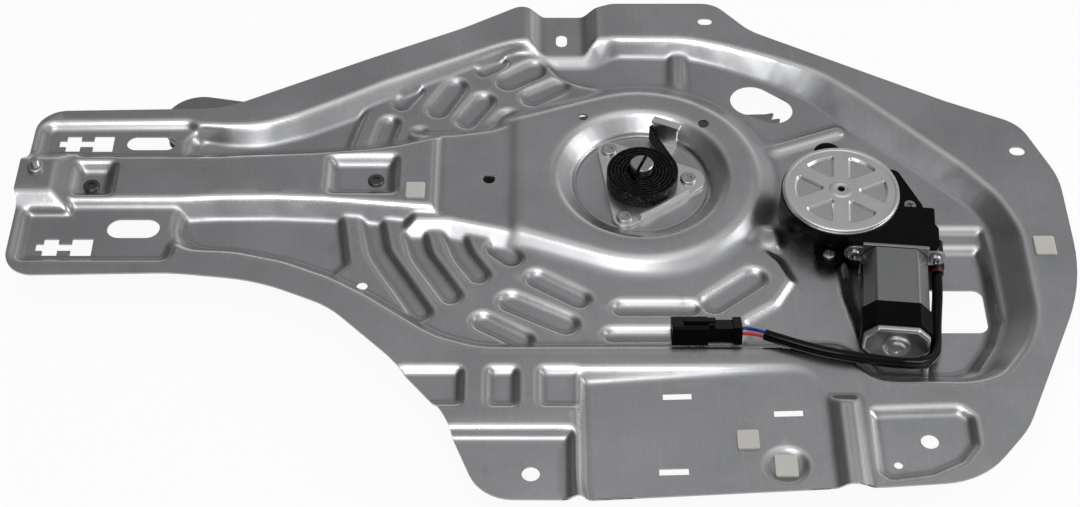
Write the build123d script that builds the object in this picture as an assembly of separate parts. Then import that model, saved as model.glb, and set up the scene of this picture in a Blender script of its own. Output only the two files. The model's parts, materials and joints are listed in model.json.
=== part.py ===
from build123d import *
import math
import os

# Power window regulator on a stamped carrier panel, in millimetres.
# While it is drawn, X runs along the door, Y up the door and Z towards the trim, and z = 0 is the
# face of the panel's rim. At the end everything moves so that the origin is under its middle.

# Panel: sheet and levels, from the rim face
SHEET = 1.2
WING_LEVEL = -4.0
CHANNEL_LEVEL = 0.6
TIP_LEVEL = 5.6
SADDLE_LEVEL = -3.0
DISH_RIM_LEVEL = -1.5
DISH_FLOOR_LEVEL = -11.3
FLOOR_LEVEL = -10.0
RIB_FIELD_LEVEL = -7.0
RIB_DEPTH = 2.6
WELL_STEP_LEVEL = -12.8
WELL_LEVEL = -16.0
NOTCH_LEVEL = -6.0
CORNER_PAD_LEVEL = -5.0
SQUARE_DEPTH = 3.0
BOLT_PAD_DEPTH = 3.5
CHANNEL_PAD_DEPTH = 5.6
CHANNEL_PADS = [(-130.0, -86.0, 48.6, 82.0), (-284.5, -258.0, 47.2, 76.2)]
PAD_CORNER = 3.0
BLANK_DEPTH = 40.0
WALL_DRAFT = 45.0
SOFT_DRAFT = 60.0
CORNER_LIMIT = 60.0

# Lift arm pivot and dish
PIVOT_X = 62.0
PIVOT_Y = 68.2
PLATEAU_RADIUS = 70.0
PLATEAU_DRAFT = 58.0
DISH_RADIUS = 53.5
DISH_FLOOR_RADIUS = 40.0

# Fixed rail, along a line through the pivot
RAIL_TILT = 1.5
RAIL_START = 152.0
RAIL_END = 350.0
RAIL_WIDTH = 22.0
RAIL_SHEET = 1.2
RAIL_MOUTH = 11.0
RAIL_RIVET_REACHES = (162.0, 335.0)
RIVET_RADIUS = 3.0
RIVET_HEAD_RADIUS = 5.0
RIVET_HEAD = 1.6
RIVET_DIMPLE = 0.44

# Arms
ARM_HALF = 142.0
ARM_ANGLE = 13.6
ARM_SHEET = 3.0
EQUALISER_SHEET = 2.0
LIFT_ARM_WIDTH = 46.0
LIFT_ARM_ROOT_WIDTH = 60.0
EQUALISER_WIDTH = 30.0
HALF_ARM_LEVEL = -14.4
LAYER_GAP = 0.6
STUD_RADIUS = 4.0
STUD_HEAD_RADIUS = 6.5
STUD_HEAD = 1.2
RUNNING_FIT = 0.05
SCISSOR_RADIUS = 6.0
SCISSOR_COLLAR_RADIUS = 9.5

# Sliders
SLIDER_LENGTH = 42.0
SLIDER_WIDTH = 17.0
GLASS_SLIDER_THICK = 5.0
SLIDER_PLAY = 0.3

# Toothed sector and pinion
MODULE = 2.0
PRESSURE_ANGLE = 25.0
ADDENDUM = 0.9
DEDENDUM = 1.15
BACKLASH = 0.25
SECTOR_FULL_TEETH = 110
SECTOR_FIRST_ANGLE = -86.0
SECTOR_LAST_ANGLE = 39.5
SECTOR_SHEET = 2.5
SECTOR_WEB = 17.0
SECTOR_SHOULDER = 50.0
SECTOR_WINDOWS = ((-70.0, -34.0), (-20.0, 16.0))
SECTOR_WINDOW_TIP = 48.0
SECTOR_RIVET_RADIUS = 3.0
SECTOR_RIVET_CIRCLE = 24.0
SECTOR_RIVET_COUNT = 4
PINION_TEETH = 11
PINION_DIRECTION = -13.4
PINION_FACE = 6.0
PINION_SHAFT_RADIUS = 6.0

# Pivot group in the dish
PLATE_SHEET = 2.0
PLATE_RIVET_PLACES = ((-109.8, 32.4), (3.0, 29.0), (125.6, 32.6))
PLATE_CORNERS = (7.2, 10.2, 7.2)
PLATE_LIP = 3.0
PLATE_LIP_INSET = 0.3
TAB_ANGLE = 65.0
TAB_REACH = 37.0
TAB_WIDTH = 16.0
TAB_TOP = 6.5
TAB_FLANGE = 5.0
SHAFT_RADIUS = 7.0
SHAFT_TOP = 6.5
SHAFT_SLOT_DEPTH = 15.6
SLOT_DIRECTION = 66.0
BUSH_RADIUS = 12.0
SPRING_STRIP = 1.4
SPRING_PITCH = 2.1
SPRING_HALF_TURNS = 13
SPRING_HEIGHT = 9.0
SPRING_LIFT = 0.4
SPRING_BEND = 1.7
SPRING_BEND_TURN = 103.0
HOOK_BEND = 2.3
HOOK_TURN_END = -90.0
HOOK_CENTRE = (0.0, 7.4)
HOOK_TAIL = 3.0
# Motor and gearbox
MOTOR_TURN = -5.2
CASE_HEIGHT = 20.0
CASE_RADIUS = 35.5
CASE_WALL = 4.0
COVER_RADIUS = 34.2
COVER_LIP = 0.6
COVER_THICK = 3.0
COVER_RECESS = 1.4
COVER_SPOKES = 6
COVER_SPOKE_ANGLE = 4.5
COVER_HUB = 8.5
COVER_RIM = 6.5
COVER_HOLE_RADIUS = 2.2
WHEEL_RADIUS = 28.0
WHEEL_THICK = 9.0
CAN_OFFSET = 32.0
CAN_LENGTH = 60.0
CAN_WIDTH = 38.5
CAN_HEIGHT = 26.0
CAN_CHAMFER = 6.5
CAN_WALL = 1.6
CAN_CENTRE_LEVEL = -2.0
FLANGE_EAR_RADIUS = 5.9
FLANGE_THICK = 2.0
FLANGE_SCREW_SPREAD = 47.2
FLANGE_SCREW_RISE = 4.5
BAND_START = 42.5
BAND_LENGTH = 17.3
BAND_THICK = 0.6
END_CAP_THICK = 4.0
END_CAP_ROUND = 2.0
END_BOSS_STEPS = ((8.0, 2.2), (5.5, 4.0))
END_CAP_INSET = 0.4
SCREW_HEAD_RADIUS = 4.0
SCREW_HEAD = 2.2
SCREW_SHANK_RADIUS = 2.4
CAN_SCREW_REACH = 8.0
CASE_EARS = ((-98.27, 4.82), (5.51, 7.2))
CASE_LOBE = (32.3, 29.3, 5.5)
WORM_BLOCK = [(4, -40, 3), (57.2, -40, 3), (57.2, -24, 1), (55.2, -21, 1), (55.2, -8, 1.5), (4, -8, 0)]
EAR_RADIUS = 8.0
EAR_HEIGHT = 7.0

# Cable, in the drawing frame
SLEEVE_DIAMETER = 6.4
LEAD_DIAMETER = 1.9
SOCKET_RADIUS = 4.8
SOCKET_LENGTH = 18.0
GROMMET_RADIUS = 4.2
GROMMET_LENGTH = 4.0
CABLE_ROUTE = [
    (233.2, -9.0, -8.4),
    (232.6, -21.0, -10.2),
    (230.6, -34.0, -11.4),
    (228.6, -47.0, -11.8),
    (227.2, -59.2, -11.2),
    (224.6, -70.5, -8.9),
    (216.8, -78.7, -5.3),
    (204.0, -82.4, -0.8),
    (186.0, -82.7, 3.0),
    (166.0, -79.8, 4.2),
    (146.0, -73.4, 4.0),
    (127.5, -64.2, 2.6),
]
CONNECTOR_LENGTH = 40.0
CONNECTOR_WIDTH = 15.0
CONNECTOR_HEIGHT = 12.0
CONNECTOR_CENTRE = (94.5, -60.7, 1.7)
CONNECTOR_LEAN = -22.0
FRONT_SHARE = 0.52
REAR_STEP = 3.4
COLLAR_LENGTH = 5.0
MOUTH_DEPTH = 14.0
MOUTH_WALL = 2.0
LATCH = (18.0, 5.0, 1.4)
LEAD_SPREAD = 3.2
LEAD_STRAIGHT = 3.6

# Small fittings
CLIP_THICK = 1.6
SEATED_CLIP = (133.0, -152.5)
CLIP_SEAT_RADIUS = 12.5
CLIP_SEAT_DEPTH = 1.5
END_STUD_PLACE = (-306.0, 65.0)
PIN_PLACE = (219.1, -73.8)
PIN_RADIUS = 2.4
PIN_HEIGHT = 2.8

DISH_UNDERSIDE = DISH_FLOOR_LEVEL - SHEET
ARM_TOP = HALF_ARM_LEVEL - EQUALISER_SHEET - LAYER_GAP
ARM_BOTTOM = ARM_TOP - ARM_SHEET
SECTOR_BOTTOM = ARM_BOTTOM - SECTOR_SHEET
UPPER_HALF_TOP = SECTOR_BOTTOM - RIVET_HEAD - LAYER_GAP
UPPER_HALF_BOTTOM = UPPER_HALF_TOP - EQUALISER_SHEET
GLASS_SLIDER_TOP = UPPER_HALF_BOTTOM - LAYER_GAP
GLASS_SLIDER_BOTTOM = GLASS_SLIDER_TOP - GLASS_SLIDER_THICK
CHANNEL_PAD_LEVEL = CHANNEL_LEVEL - CHANNEL_PAD_DEPTH
RAIL_TOP = CHANNEL_PAD_LEVEL - SHEET
RAIL_BOTTOM = HALF_ARM_LEVEL + LAYER_GAP
SECTOR_RADIUS = MODULE * SECTOR_FULL_TEETH / 2
PINION_RADIUS = MODULE * PINION_TEETH / 2
GEAR_DISTANCE = SECTOR_RADIUS + PINION_RADIUS
SHAFT_SLOT = SPRING_STRIP + 2 * LAYER_GAP / 2
GEAR_X = PIVOT_X + GEAR_DISTANCE * math.cos(math.radians(PINION_DIRECTION))
GEAR_Y = PIVOT_Y + GEAR_DISTANCE * math.sin(math.radians(PINION_DIRECTION))
CASE_TOP = FLOOR_LEVEL + CASE_HEIGHT
CAN_START = -WORM_BLOCK[0][1]
CAN_SCREW_LEVEL = CAN_CENTRE_LEVEL + FLANGE_SCREW_RISE
BAND_FRONT = CAN_START + FLANGE_THICK + BAND_START
CAP_FRONT = CAN_START + FLANGE_THICK + CAN_LENGTH
PLATE_TOP = DISH_FLOOR_LEVEL + PLATE_SHEET


def polar(angle, reach):
    return (reach * math.cos(math.radians(angle)), reach * math.sin(math.radians(angle)))


def face_of(corners, level):
    """Flat face at a level, from corners (x, y) or (x, y, corner radius)."""
    points = [(c[0], c[1], level) for c in corners]
    radii = [c[2] if len(c) > 2 else 0.0 for c in corners]
    if any(radii):
        return make_face(FilletPolyline(*points, radius=radii, close=True).edges())
    return make_face(Polyline(*points, close=True).edges())


def rectangle(x0, x1, y0, y1, radius):
    return [(x0, y0, radius), (x1, y0, radius), (x1, y1, radius), (x0, y1, radius)]


def sunk(face, depth, draft=WALL_DRAFT):
    """Pocket under a face: its walls lean in by the draft."""
    return extrude(face, amount=depth, dir=(0, 0, -1), taper=draft)


def raised(face, height, draft=WALL_DRAFT):
    """Solid under a face: its walls lean out by the draft."""
    return extrude(face, amount=height, dir=(0, 0, -1), taper=-draft)


def ruled(top, foot):
    """Solid with straight walls between two closed outlines of as many points, rounded at their corners."""
    rounded = [FilletPolyline(*outline, radius=corner_radii(outline), close=True) for outline in (top, foot)]
    return loft([make_face(outline.edges()) for outline in rounded], ruled=True)


def corner_radii(outline):
    """Largest arc that the two runs of each corner of a closed outline allow, up to the limit."""
    radii = []
    for i, here in enumerate(outline):
        before, after = outline[i - 1], outline[(i + 1) % len(outline)]
        first, second = Vector(*here) - Vector(*before), Vector(*after) - Vector(*here)
        half_turn = math.radians(first.get_angle(second)) / 2
        radii.append(min(0.45 * min(first.length, second.length) / math.tan(half_turn), CORNER_LIMIT))
    return radii


def disc(x, y, radius, bottom, top):
    return Pos(x, y, bottom) * Cylinder(radius, top - bottom, align=(Align.CENTER, Align.CENTER, Align.MIN))


def slot_at(level, start, end, radius):
    """Obround face from one centre to another."""
    length = math.dist(start, end)
    turn = math.degrees(math.atan2(end[1] - start[1], end[0] - start[0]))
    middle = ((start[0] + end[0]) / 2, (start[1] + end[1]) / 2)
    return Pos(middle[0], middle[1], level) * Rot(0, 0, turn) * SlotCenterToCenter(length, 2 * radius)


def hull_of(circles, level=0.0):
    """Face round circles (x, y, radius), as a belt round pulleys."""
    edges = [(Pos(x, y, level) * Circle(r)).edge() for x, y, r in circles]
    return make_hull(edges)


# Rim corners of the blank, with their corner radii
BLANK_CORNERS = [
    (-313.0, 120.0, 18), (-198.0, 122.5, 60), (-110.0, 168.0, 120), (-50.0, 197.5, 150), (-13.0, 219.5, 10),
    (2.0, 214.4, 8), (28.0, 214.4, 12), (47.0, 221.5, 14), (114.0, 221.5, 18), (136.0, 195.0, 40),
    (255.0, 129.0, 60), (298.0, 108.5, 26), (315.5, 62.0, 60), (315.5, -22.0, 150), (268.0, -128.0, 60),
    (238.0, -163.5, 50), (185.0, -167.5, 12), (22.0, -172.3, 40), (-32.0, -172.0, 26), (-54.0, -116.0, 50),
    (-86.0, -76.5, 50), (-122.0, -40.0, 60), (-165.0, -20.5, 120), (-215.0, -14.5, 150), (-314.5, -16.5, 18),
    (-314.5, 44.0, 2), (-316.5, 47.0, 2), (-316.5, 73.0, 2), (-313.5, 76.0, 2),
]

# Basin: each point on the rim, and the foot of the wall below it
BASIN_WALL = [
    ((-223, 108), (-212, 104)), ((-195, 107.5), (-197, 99)), ((-172, 108.5), (-175, 96.5)),
    ((-150, 117.5), (-148, 106)), ((-124, 131.5), (-119, 121)), ((-97, 147.5), (-90, 137)),
    ((-30, 179), (-28, 174)), ((-14, 185.5), (-13, 180)), ((0, 187), (3, 168.5)),
    ((30, 187), (35, 168.5)), ((48, 188), (46, 179.5)), ((95, 188), (97, 178)), ((120, 181), (120, 169)),
    ((150, 169.5), (147, 155)), ((178, 156), (172, 138)), ((200, 136), (190, 117)),
    ((258, 73), (240, 67)), ((276, 48), (262, 44)), ((286, 20), (270, 26)), ((286, -45), (270, -45)),
    ((278, -68), (263, -63)), ((261, -90), (250, -84)), ((243, -96), (237, -88)), ((190, -95), (191, -86)),
    ((178, -84), (185, -79)), ((174, -71), (174, -61)), ((-35, -71), (-32, -61.5)), ((-62, -62), (-56, -54)),
    ((-100, -33), (-93, -26)), ((-122, -19), (-118, -10)), ((-150, -6.5), (-147, 3)), ((-180, 1.5), (-178, 11)),
    ((-223, 4), (-212, 13)),
]

# Well under the motor: its upper edge on the basin floor
WELL_STEP_CORNERS = [(177, 29.5), (266, 29.5), (267.5, 10), (267.5, -44), (261, -62), (248, -82), (236, -86),
                     (192, -84), (186, -77), (177, -60)]
WELL_CORNERS = [(180, 16.5), (263, 16.5), (264.3, 0), (264.3, -43), (258, -60.5), (245.5, -79), (235, -82.8),
                (194, -80.8), (189, -75), (180, -58)]

RAISED_CHANNEL = [(-320, 44.5), (-215, 44.8), (-195, 46.2), (-160, 46.6), (-128, 45), (-90, 41), (-64, 38.5),
                  (-64, 96.5), (-85, 90), (-105, 86), (-140, 82.5), (-200, 79.3), (-320, 79.3)]
TIP_CORNERS = [(-330, 46.5), (-294, 46.5), (-294, 73), (-330, 73)]
SADDLE_CORNERS = [(-75, 31), (-54, 31), (-30, 24.7), (-5, 18), (-5, 116), (-30, 105), (-54, 101), (-75, 101)]
PLATEAU_EDGE = ((-12, 24.5), (-12, 113))
RIB_FIELD_TOP = [(-117, 94), (-109, 128), (-60, 168), (-15, 196), (2, 172), (13, 156), (26, 150.5), (38, 148),
                 (34, 125), (-20, 95), (-60, 80)]
RIB_FIELD_LOW = [(-119, 40), (-112.5, -2), (-123, -14), (-130, -60), (-40, -95), (112, -95), (117, -45),
                 (137, -31), (147, -14), (141, 1), (130, 13), (100, 20)]
SUNK_RIBS = [
    ((-99, 94), (-94, 116.5), 6.5), ((-76, 99), (-75, 107), 6.0), ((-87, 134.5), (-80, 146), 6.5),
    ((-64, 129.5), (-54, 149.5), 8.0), ((-46, 120), (-36, 136.5), 8.0), ((-23, 116), (-20, 121), 8.0),
    ((-36, 165), (-26, 172), 6.0), ((-20, 155.5), (-4, 166), 9.0), ((-5, 140), (12, 150), 8.0),
    ((-25, 11), (-17, 4), 7.5), ((-2, -13), (23, -29), 7.0), ((-17, -31), (15, -48), 8.0),
    ((-33, -46), (-10, -60), 7.0), ((47, -36), (88, -36), 6.0), ((41, -56), (82, -56), 5.5),
    ((101, -32), (125, -13), 8.5),
]
LONG_RIBS = [
    [(-101, 36), (-96, 8), (-69, -39)], [(-77, 34), (-71, 6), (-52, -26)], [(-53, 28), (-46, 6), (-36, -10)],
]
LONG_RIB_WIDTH = 14.0
SQUARES = [(-95, -43, -112, -85), (-30, -12, -113, -85), (-1, 23, -113, -85)]
CORNER_PAD = [(-80, -127, 0), (20, -127, 4), (20, -215, 0), (-80, -215, 0)]
BIG_PAD_TOP = [(20, -86), (157, -84), (160, -215), (20, -215)]
BIG_PAD_FOOT = [(26, -93), (153, -87.5), (156, -215), (24.5, -215)]
BIG_PAD_DEEP = 5.8
BIG_PAD_SLOPE = 0.042
BOLT_PAD = [(181.5, -115, 3), (232, -113, 3), (239, -120, 4), (239, -139, 6), (230, -151, 6), (212, -160, 8),
            (188, -163.5, 3), (181.5, -158, 3)]
NOTCH_SIDES = (1.5, 28.0)
FLOOR_RIDGES = [((90, 195), (88, 150), 4.0), ((136, 91), (186, 111), 3.2)]
RIDGE_HEIGHT = 2.2
SCREW_BOSS = (136.0, 19.0, 7.0)

BOLT_HOLE_RADIUS = 5.0
BOLT_HOLES = [(-5.0, -155.5), (213.0, -134.9)]
SMALL_HOLES = [(194.0, -150.9, 2.5), (-104.0, -19.2, 3.3), (-31.0, 63.7, 3.7), (27.0, 116.3, 2.9),
               (102.0, 110.3, 3.4), (178.0, 90.5, 8.5)]
RIM_SLOTS = [(14.0, 191.9, 7.2, 12.0), (107.6, 204.0, 9.4, 6.6), (293.5, 85.0, 9.6, 7.6)]
STRAP_SLOTS = [(76.3, -103.6), (137.0, -117.3), (72.4, -155.0)]
STRAP_SLOT = (16.0, 4.6)
WING_SLOTS = [(-240.8, 95.6, 30.5, 12.0), (-242.8, 23.8, 31.5, 15.5)]
KEY_SLOTS = [(-281.0, 95.1), (-282.0, 8.6)]
KEY_SLOT_PARTS = [(-8.0, 9.0, 13.5), (0.0, 33.5, 5.6), (10.5, 12.5, 13.8)]
TEARDROP = [(134.5, 140.0, 13.5), (148.0, 131.3, 12.0)]
WINDOW = (222.0, 260.0, -47.6, -14.6)
PINION_HOLE_RADIUS = 17.0


def blank():
    """Outline of the sheet, as a tall prism."""
    return extrude(face_of(BLANK_CORNERS, -BLANK_DEPTH), amount=2 * BLANK_DEPTH)


def basin(form):
    """Main basin with its floor, and the stepped well for the motor can."""
    top = [(*rim, 0.0) for rim, foot in BASIN_WALL]
    foot = [(*foot, FLOOR_LEVEL) for rim, foot in BASIN_WALL]
    form -= ruled(top, foot)
    form -= sunk(face_of(WELL_STEP_CORNERS, FLOOR_LEVEL), FLOOR_LEVEL - WELL_STEP_LEVEL)
    form -= sunk(face_of(WELL_CORNERS, WELL_STEP_LEVEL), WELL_STEP_LEVEL - WELL_LEVEL)
    return form


def wings(form):
    """Two recesses at the left end, with the key slots."""
    form -= sunk(face_of([(-309.5, 110.5, 8), (-218, 111.5, 0), (-190, 96, 0), (-190, 60, 0), (-309.5, 60, 0)],
                         0.0), -WING_LEVEL)
    form -= sunk(face_of([(-310, -5.2, 6), (-218, -5.2, 6), (-216, 8, 0), (-200, 20, 0), (-200, 60, 0),
                          (-310, 60, 0)], 0.0), -WING_LEVEL)
    return form


def rib_fields(form):
    """Raised fields of the floor, with sunk ribs pressed into them."""
    for corners in (RIB_FIELD_TOP, RIB_FIELD_LOW):
        form += raised(face_of(corners, RIB_FIELD_LEVEL), RIB_FIELD_LEVEL - FLOOR_LEVEL + 1.0)
    for start, end, radius in SUNK_RIBS:
        form -= sunk(slot_at(RIB_FIELD_LEVEL, start, end, radius), RIB_DEPTH)
    for points in LONG_RIBS:
        centre = FilletPolyline(*[(x, y) for x, y in points], radius=30.0)
        form -= sunk(Pos(0, 0, RIB_FIELD_LEVEL) * SlotArc(centre, LONG_RIB_WIDTH), RIB_DEPTH)
    return form


def floor_forms(form):
    """Ridges and the boss on the floor."""
    for start, end, radius in FLOOR_RIDGES:
        form += raised(slot_at(FLOOR_LEVEL + RIDGE_HEIGHT, start, end, radius), RIDGE_HEIGHT + 1.0)
    x, y, radius = SCREW_BOSS
    form += raised(Pos(x, y, RIB_FIELD_LEVEL + 1.0) * Circle(radius), RIB_FIELD_LEVEL - FLOOR_LEVEL + 2.0)
    return form


def channel(form):
    """Raised channel for the fixed rail, its saddle and the plateau round the dish."""
    form += raised(face_of(RAISED_CHANNEL, CHANNEL_LEVEL), CHANNEL_LEVEL - FLOOR_LEVEL + 1.0)
    form += raised(face_of(TIP_CORNERS, TIP_LEVEL), TIP_LEVEL + 1.0, SOFT_DRAFT)
    form += raised(face_of(SADDLE_CORNERS, SADDLE_LEVEL), SADDLE_LEVEL - FLOOR_LEVEL + 1.0, PLATEAU_DRAFT)
    keyhole = hull_of([(PIVOT_X, PIVOT_Y, PLATEAU_RADIUS)] + [(x, y, 3.0) for x, y in PLATEAU_EDGE],
                      DISH_RIM_LEVEL)
    form += raised(keyhole, DISH_RIM_LEVEL - FLOOR_LEVEL + 1.0, PLATEAU_DRAFT)
    for pad in CHANNEL_PADS:
        form -= sunk(face_of(rectangle(*pad, PAD_CORNER), CHANNEL_LEVEL), CHANNEL_PAD_DEPTH)
    return form


def dish(form):
    """Dish for the spring, sunk in the plateau."""
    depth = DISH_RIM_LEVEL - DISH_FLOOR_LEVEL
    wall = Cone(DISH_FLOOR_RADIUS, DISH_RADIUS, depth)
    return form - Pos(PIVOT_X, PIVOT_Y, DISH_RIM_LEVEL - depth / 2) * wall


def notch(form):
    """Sunk step through the upper rim."""
    left, right = NOTCH_SIDES
    slope = -NOTCH_LEVEL * 1.4
    section = [(left - slope, 0), (right + slope, 0), (right, NOTCH_LEVEL), (left, NOTCH_LEVEL)]
    profile = make_face(Polyline(*[(x, 240.0, z) for x, z in section], close=True).edges())
    return form - extrude(profile, amount=66.0, dir=(0, -1, 0))


def lower_forms(form):
    """Squares, pads and the crossing ridge below the basin."""
    for x0, x1, y0, y1 in SQUARES:
        form -= sunk(face_of(rectangle(x0, x1, y0, y1, 2.5), 0.0), SQUARE_DEPTH)
    form -= sunk(face_of(CORNER_PAD, 0.0), -CORNER_PAD_LEVEL)
    top = [(x, y, 0.0) for x, y in BIG_PAD_TOP]
    foot = [(x, y, big_pad_level(x)) for x, y in BIG_PAD_FOOT]
    form -= ruled(top, foot)
    x, y = SEATED_CLIP
    seat = Pos(x, y, big_pad_level(x) + 1.0) * Circle(CLIP_SEAT_RADIUS)
    form -= sunk(seat, CLIP_SEAT_DEPTH + 1.0)
    form -= sunk(face_of(BOLT_PAD, 0.0), BOLT_PAD_DEPTH)
    form += raised(face_of([(165, -112), (172, -112), (172.5, -215), (165.5, -215)], 4.2), 5.5, 55.0)
    return form


def stamped_form():
    """Solid whose upper surface is the face of the stamping."""
    form = Pos(0, 20, -BLANK_DEPTH / 2) * Box(700, 520, BLANK_DEPTH)
    form = wings(form)
    form = basin(form)
    form = rib_fields(form)
    form = floor_forms(form)
    form = channel(form)
    form = dish(form)
    form = notch(form)
    form = lower_forms(form)
    return form


def holes():
    """Everything that is punched through the sheet, as prisms."""
    bottom, top = -BLANK_DEPTH, BLANK_DEPTH
    cuts = [disc(x, y, BOLT_HOLE_RADIUS, bottom, top) for x, y in BOLT_HOLES]
    cuts += [disc(x, y, radius, bottom, top) for x, y, radius in SMALL_HOLES]
    cuts += [disc(GEAR_X, GEAR_Y, PINION_HOLE_RADIUS, bottom, top)]
    cuts += [disc(PIVOT_X, PIVOT_Y, SHAFT_RADIUS + RUNNING_FIT, bottom, top)]
    cuts += [disc(PIVOT_X + x, PIVOT_Y + y, RIVET_RADIUS, bottom, top)
             for x, y in (polar(angle, reach) for angle, reach in PLATE_RIVET_PLACES)]
    cuts += [disc(*rail_point(reach), RIVET_RADIUS, bottom, top) for reach in RAIL_RIVET_REACHES]
    cuts += [disc(x, y, SCREW_SHANK_RADIUS, bottom, top) for x, y in case_screw_points()]
    faces = []
    for x, y, wide, high in RIM_SLOTS + WING_SLOTS:
        if wide > high:
            faces.append(slot_at(bottom, (x - (wide - high) / 2, y), (x + (wide - high) / 2, y), high / 2))
        else:
            faces.append(slot_at(bottom, (x, y - (high - wide) / 2), (x, y + (high - wide) / 2), wide / 2))
    faces += [Pos(x, y, bottom) * Rectangle(*STRAP_SLOT) for x, y in STRAP_SLOTS]
    for x, y in KEY_SLOTS:
        for offset, wide, high in KEY_SLOT_PARTS:
            faces.append(Pos(x + offset, y, bottom) * Rectangle(wide, high))
    faces.append(hull_of(TEARDROP, bottom))
    faces.append(face_of(rectangle(*WINDOW, 6.0), bottom))
    cuts += [extrude(face, amount=top - bottom, dir=(0, 0, 1)) for face in faces]
    return cuts


def panel():
    """The stamping: the form under the outline, less the same form one sheet lower."""
    form = stamped_form()
    return (form & blank()) - [Pos(0, 0, -SHEET) * form, *holes()]


def rail_point(reach):
    """Point on the rail's line, at a distance to the left of the pivot."""
    x, y = polar(180.0 + RAIL_TILT, reach)
    return (PIVOT_X + x, PIVOT_Y + y)


def case_ear_points():
    """Ears of the gear case, seen from the gear's axis with the can along -Y."""
    return [polar(angle, CASE_RADIUS + reach) for angle, reach in CASE_EARS]


def case_screw_points():
    turned = []
    for angle, reach in CASE_EARS:
        dx, dy = polar(angle + MOTOR_TURN, CASE_RADIUS + reach)
        turned.append((GEAR_X + dx, GEAR_Y + dy))
    return turned


def on_rail(part):
    """Bring a piece drawn with the pivot at the origin and the rail along X into place."""
    return Pos(PIVOT_X, PIVOT_Y, 0) * Rot(0, 0, RAIL_TILT) * part


def guide_rail():
    """C section behind the channel, open towards the arms."""
    depth = RAIL_TOP - RAIL_BOTTOM
    outer = Pos(0, 0, -depth / 2) * Box(RAIL_END - RAIL_START, RAIL_WIDTH, depth)
    inner = Box(RAIL_END, RAIL_WIDTH - 2 * RAIL_SHEET, depth - 2 * RAIL_SHEET)
    mouth = Pos(0, 0, -depth) * Box(RAIL_END, RAIL_MOUTH, depth)
    rail = outer - Pos(0, 0, -depth / 2) * inner - mouth
    rail = Pos(-(RAIL_START + RAIL_END) / 2, 0, RAIL_TOP) * rail
    for reach in RAIL_RIVET_REACHES:
        rail -= disc(-reach, 0, RIVET_RADIUS, RAIL_TOP - depth, RAIL_TOP + 1)
    return on_rail(rail)


def rivet(x, y, top, bottom, radius=RIVET_RADIUS, head_radius=RIVET_HEAD_RADIUS, lower_head=RIVET_HEAD):
    """Round rivet through sheets between two levels, with a domed head above."""
    body = disc(x, y, radius, bottom, top)
    dome = Pos(x, y, top) * Cylinder(head_radius, RIVET_HEAD, align=(Align.CENTER, Align.CENTER, Align.MIN))
    dome = fillet(dome.edges().group_by(Axis.Z)[-1], RIVET_HEAD * 0.6)
    dome -= disc(x, y, head_radius * RIVET_DIMPLE, top + RIVET_HEAD / 2, top + 2 * RIVET_HEAD)
    tail = disc(x, y, head_radius - 1.0, bottom - lower_head, bottom)
    return body + dome + tail


def rail_rivets():
    web_bottom = RAIL_TOP - RAIL_SHEET
    return [rivet(*rail_point(reach), CHANNEL_PAD_LEVEL, web_bottom, lower_head=SLIDER_PLAY)
            for reach in RAIL_RIVET_REACHES]


def slider_top():
    return RAIL_TOP - RAIL_SHEET - 2 * SLIDER_PLAY


def slider_bottom():
    return RAIL_BOTTOM + RAIL_SHEET + SLIDER_PLAY


def slider_block(width, bottom, top):
    """Plastic slider with rounded ends and the bore for its stud."""
    block = Pos(0, 0, (bottom + top) / 2) * Box(SLIDER_LENGTH, width, top - bottom)
    block = fillet(block.edges().filter_by(Axis.Z), width * 0.3)
    return block - disc(0, 0, STUD_RADIUS + RUNNING_FIT, bottom - 1, top + 1)


def linkage(angle=ARM_ANGLE):
    """Joint points of the linkage, from the pivot, with the rail along X."""
    run = ARM_HALF * math.cos(math.radians(angle))
    rise = ARM_HALF * math.sin(math.radians(angle))
    return {"scissor": (-run, rise), "tip": (-2 * run, 2 * rise), "rail_end": (-2 * run, 0.0),
            "glass_end": (0.0, 2 * rise)}


def rail_slider():
    x, y = linkage()["rail_end"]
    width = RAIL_WIDTH - 2 * RAIL_SHEET - 2 * SLIDER_PLAY
    return on_rail(Pos(x, y, 0) * slider_block(width, slider_bottom(), slider_top()))


def glass_slider(end):
    x, y = linkage()[end]
    return on_rail(Pos(x, y, 0) * slider_block(SLIDER_WIDTH, GLASS_SLIDER_BOTTOM, GLASS_SLIDER_TOP))


def strip(start, end, start_radius, end_radius, bottom, top):
    """Flat arm between two round ends."""
    face = hull_of([(*start, start_radius), (*end, end_radius)], bottom)
    return extrude(face, amount=top - bottom, dir=(0, 0, 1))


def lift_arm():
    """Long arm from the pivot to the glass channel, with its pressed bead and the wide root."""
    points = linkage()
    arm = strip((0, 0), points["tip"], LIFT_ARM_ROOT_WIDTH / 2, LIFT_ARM_WIDTH / 2, ARM_BOTTOM, ARM_TOP)
    arm -= disc(0, 0, SHAFT_RADIUS, ARM_BOTTOM - 1, ARM_TOP + 1)
    arm -= disc(*points["scissor"], SCISSOR_RADIUS + RUNNING_FIT, ARM_BOTTOM - 1, ARM_TOP + 1)
    arm -= disc(*points["tip"], STUD_RADIUS, ARM_BOTTOM - 1, ARM_TOP + 1)
    for spot in sector_rivet_points():
        arm -= disc(*spot, SECTOR_RIVET_RADIUS, ARM_BOTTOM - 1, ARM_TOP + 1)
    for near, far in ((0.24, 0.40), (0.60, 0.84)):
        start = [c * near for c in points["tip"]]
        end = [c * far for c in points["tip"]]
        arm -= sunk(slot_at(ARM_TOP, start, end, 9.0), 1.6, 40.0)
    return on_rail(arm)


def sector_rivet_points():
    step = 360.0 / SECTOR_RIVET_COUNT
    return [polar(step * (i + 0.5), SECTOR_RIVET_CIRCLE) for i in range(SECTOR_RIVET_COUNT)]


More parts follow.
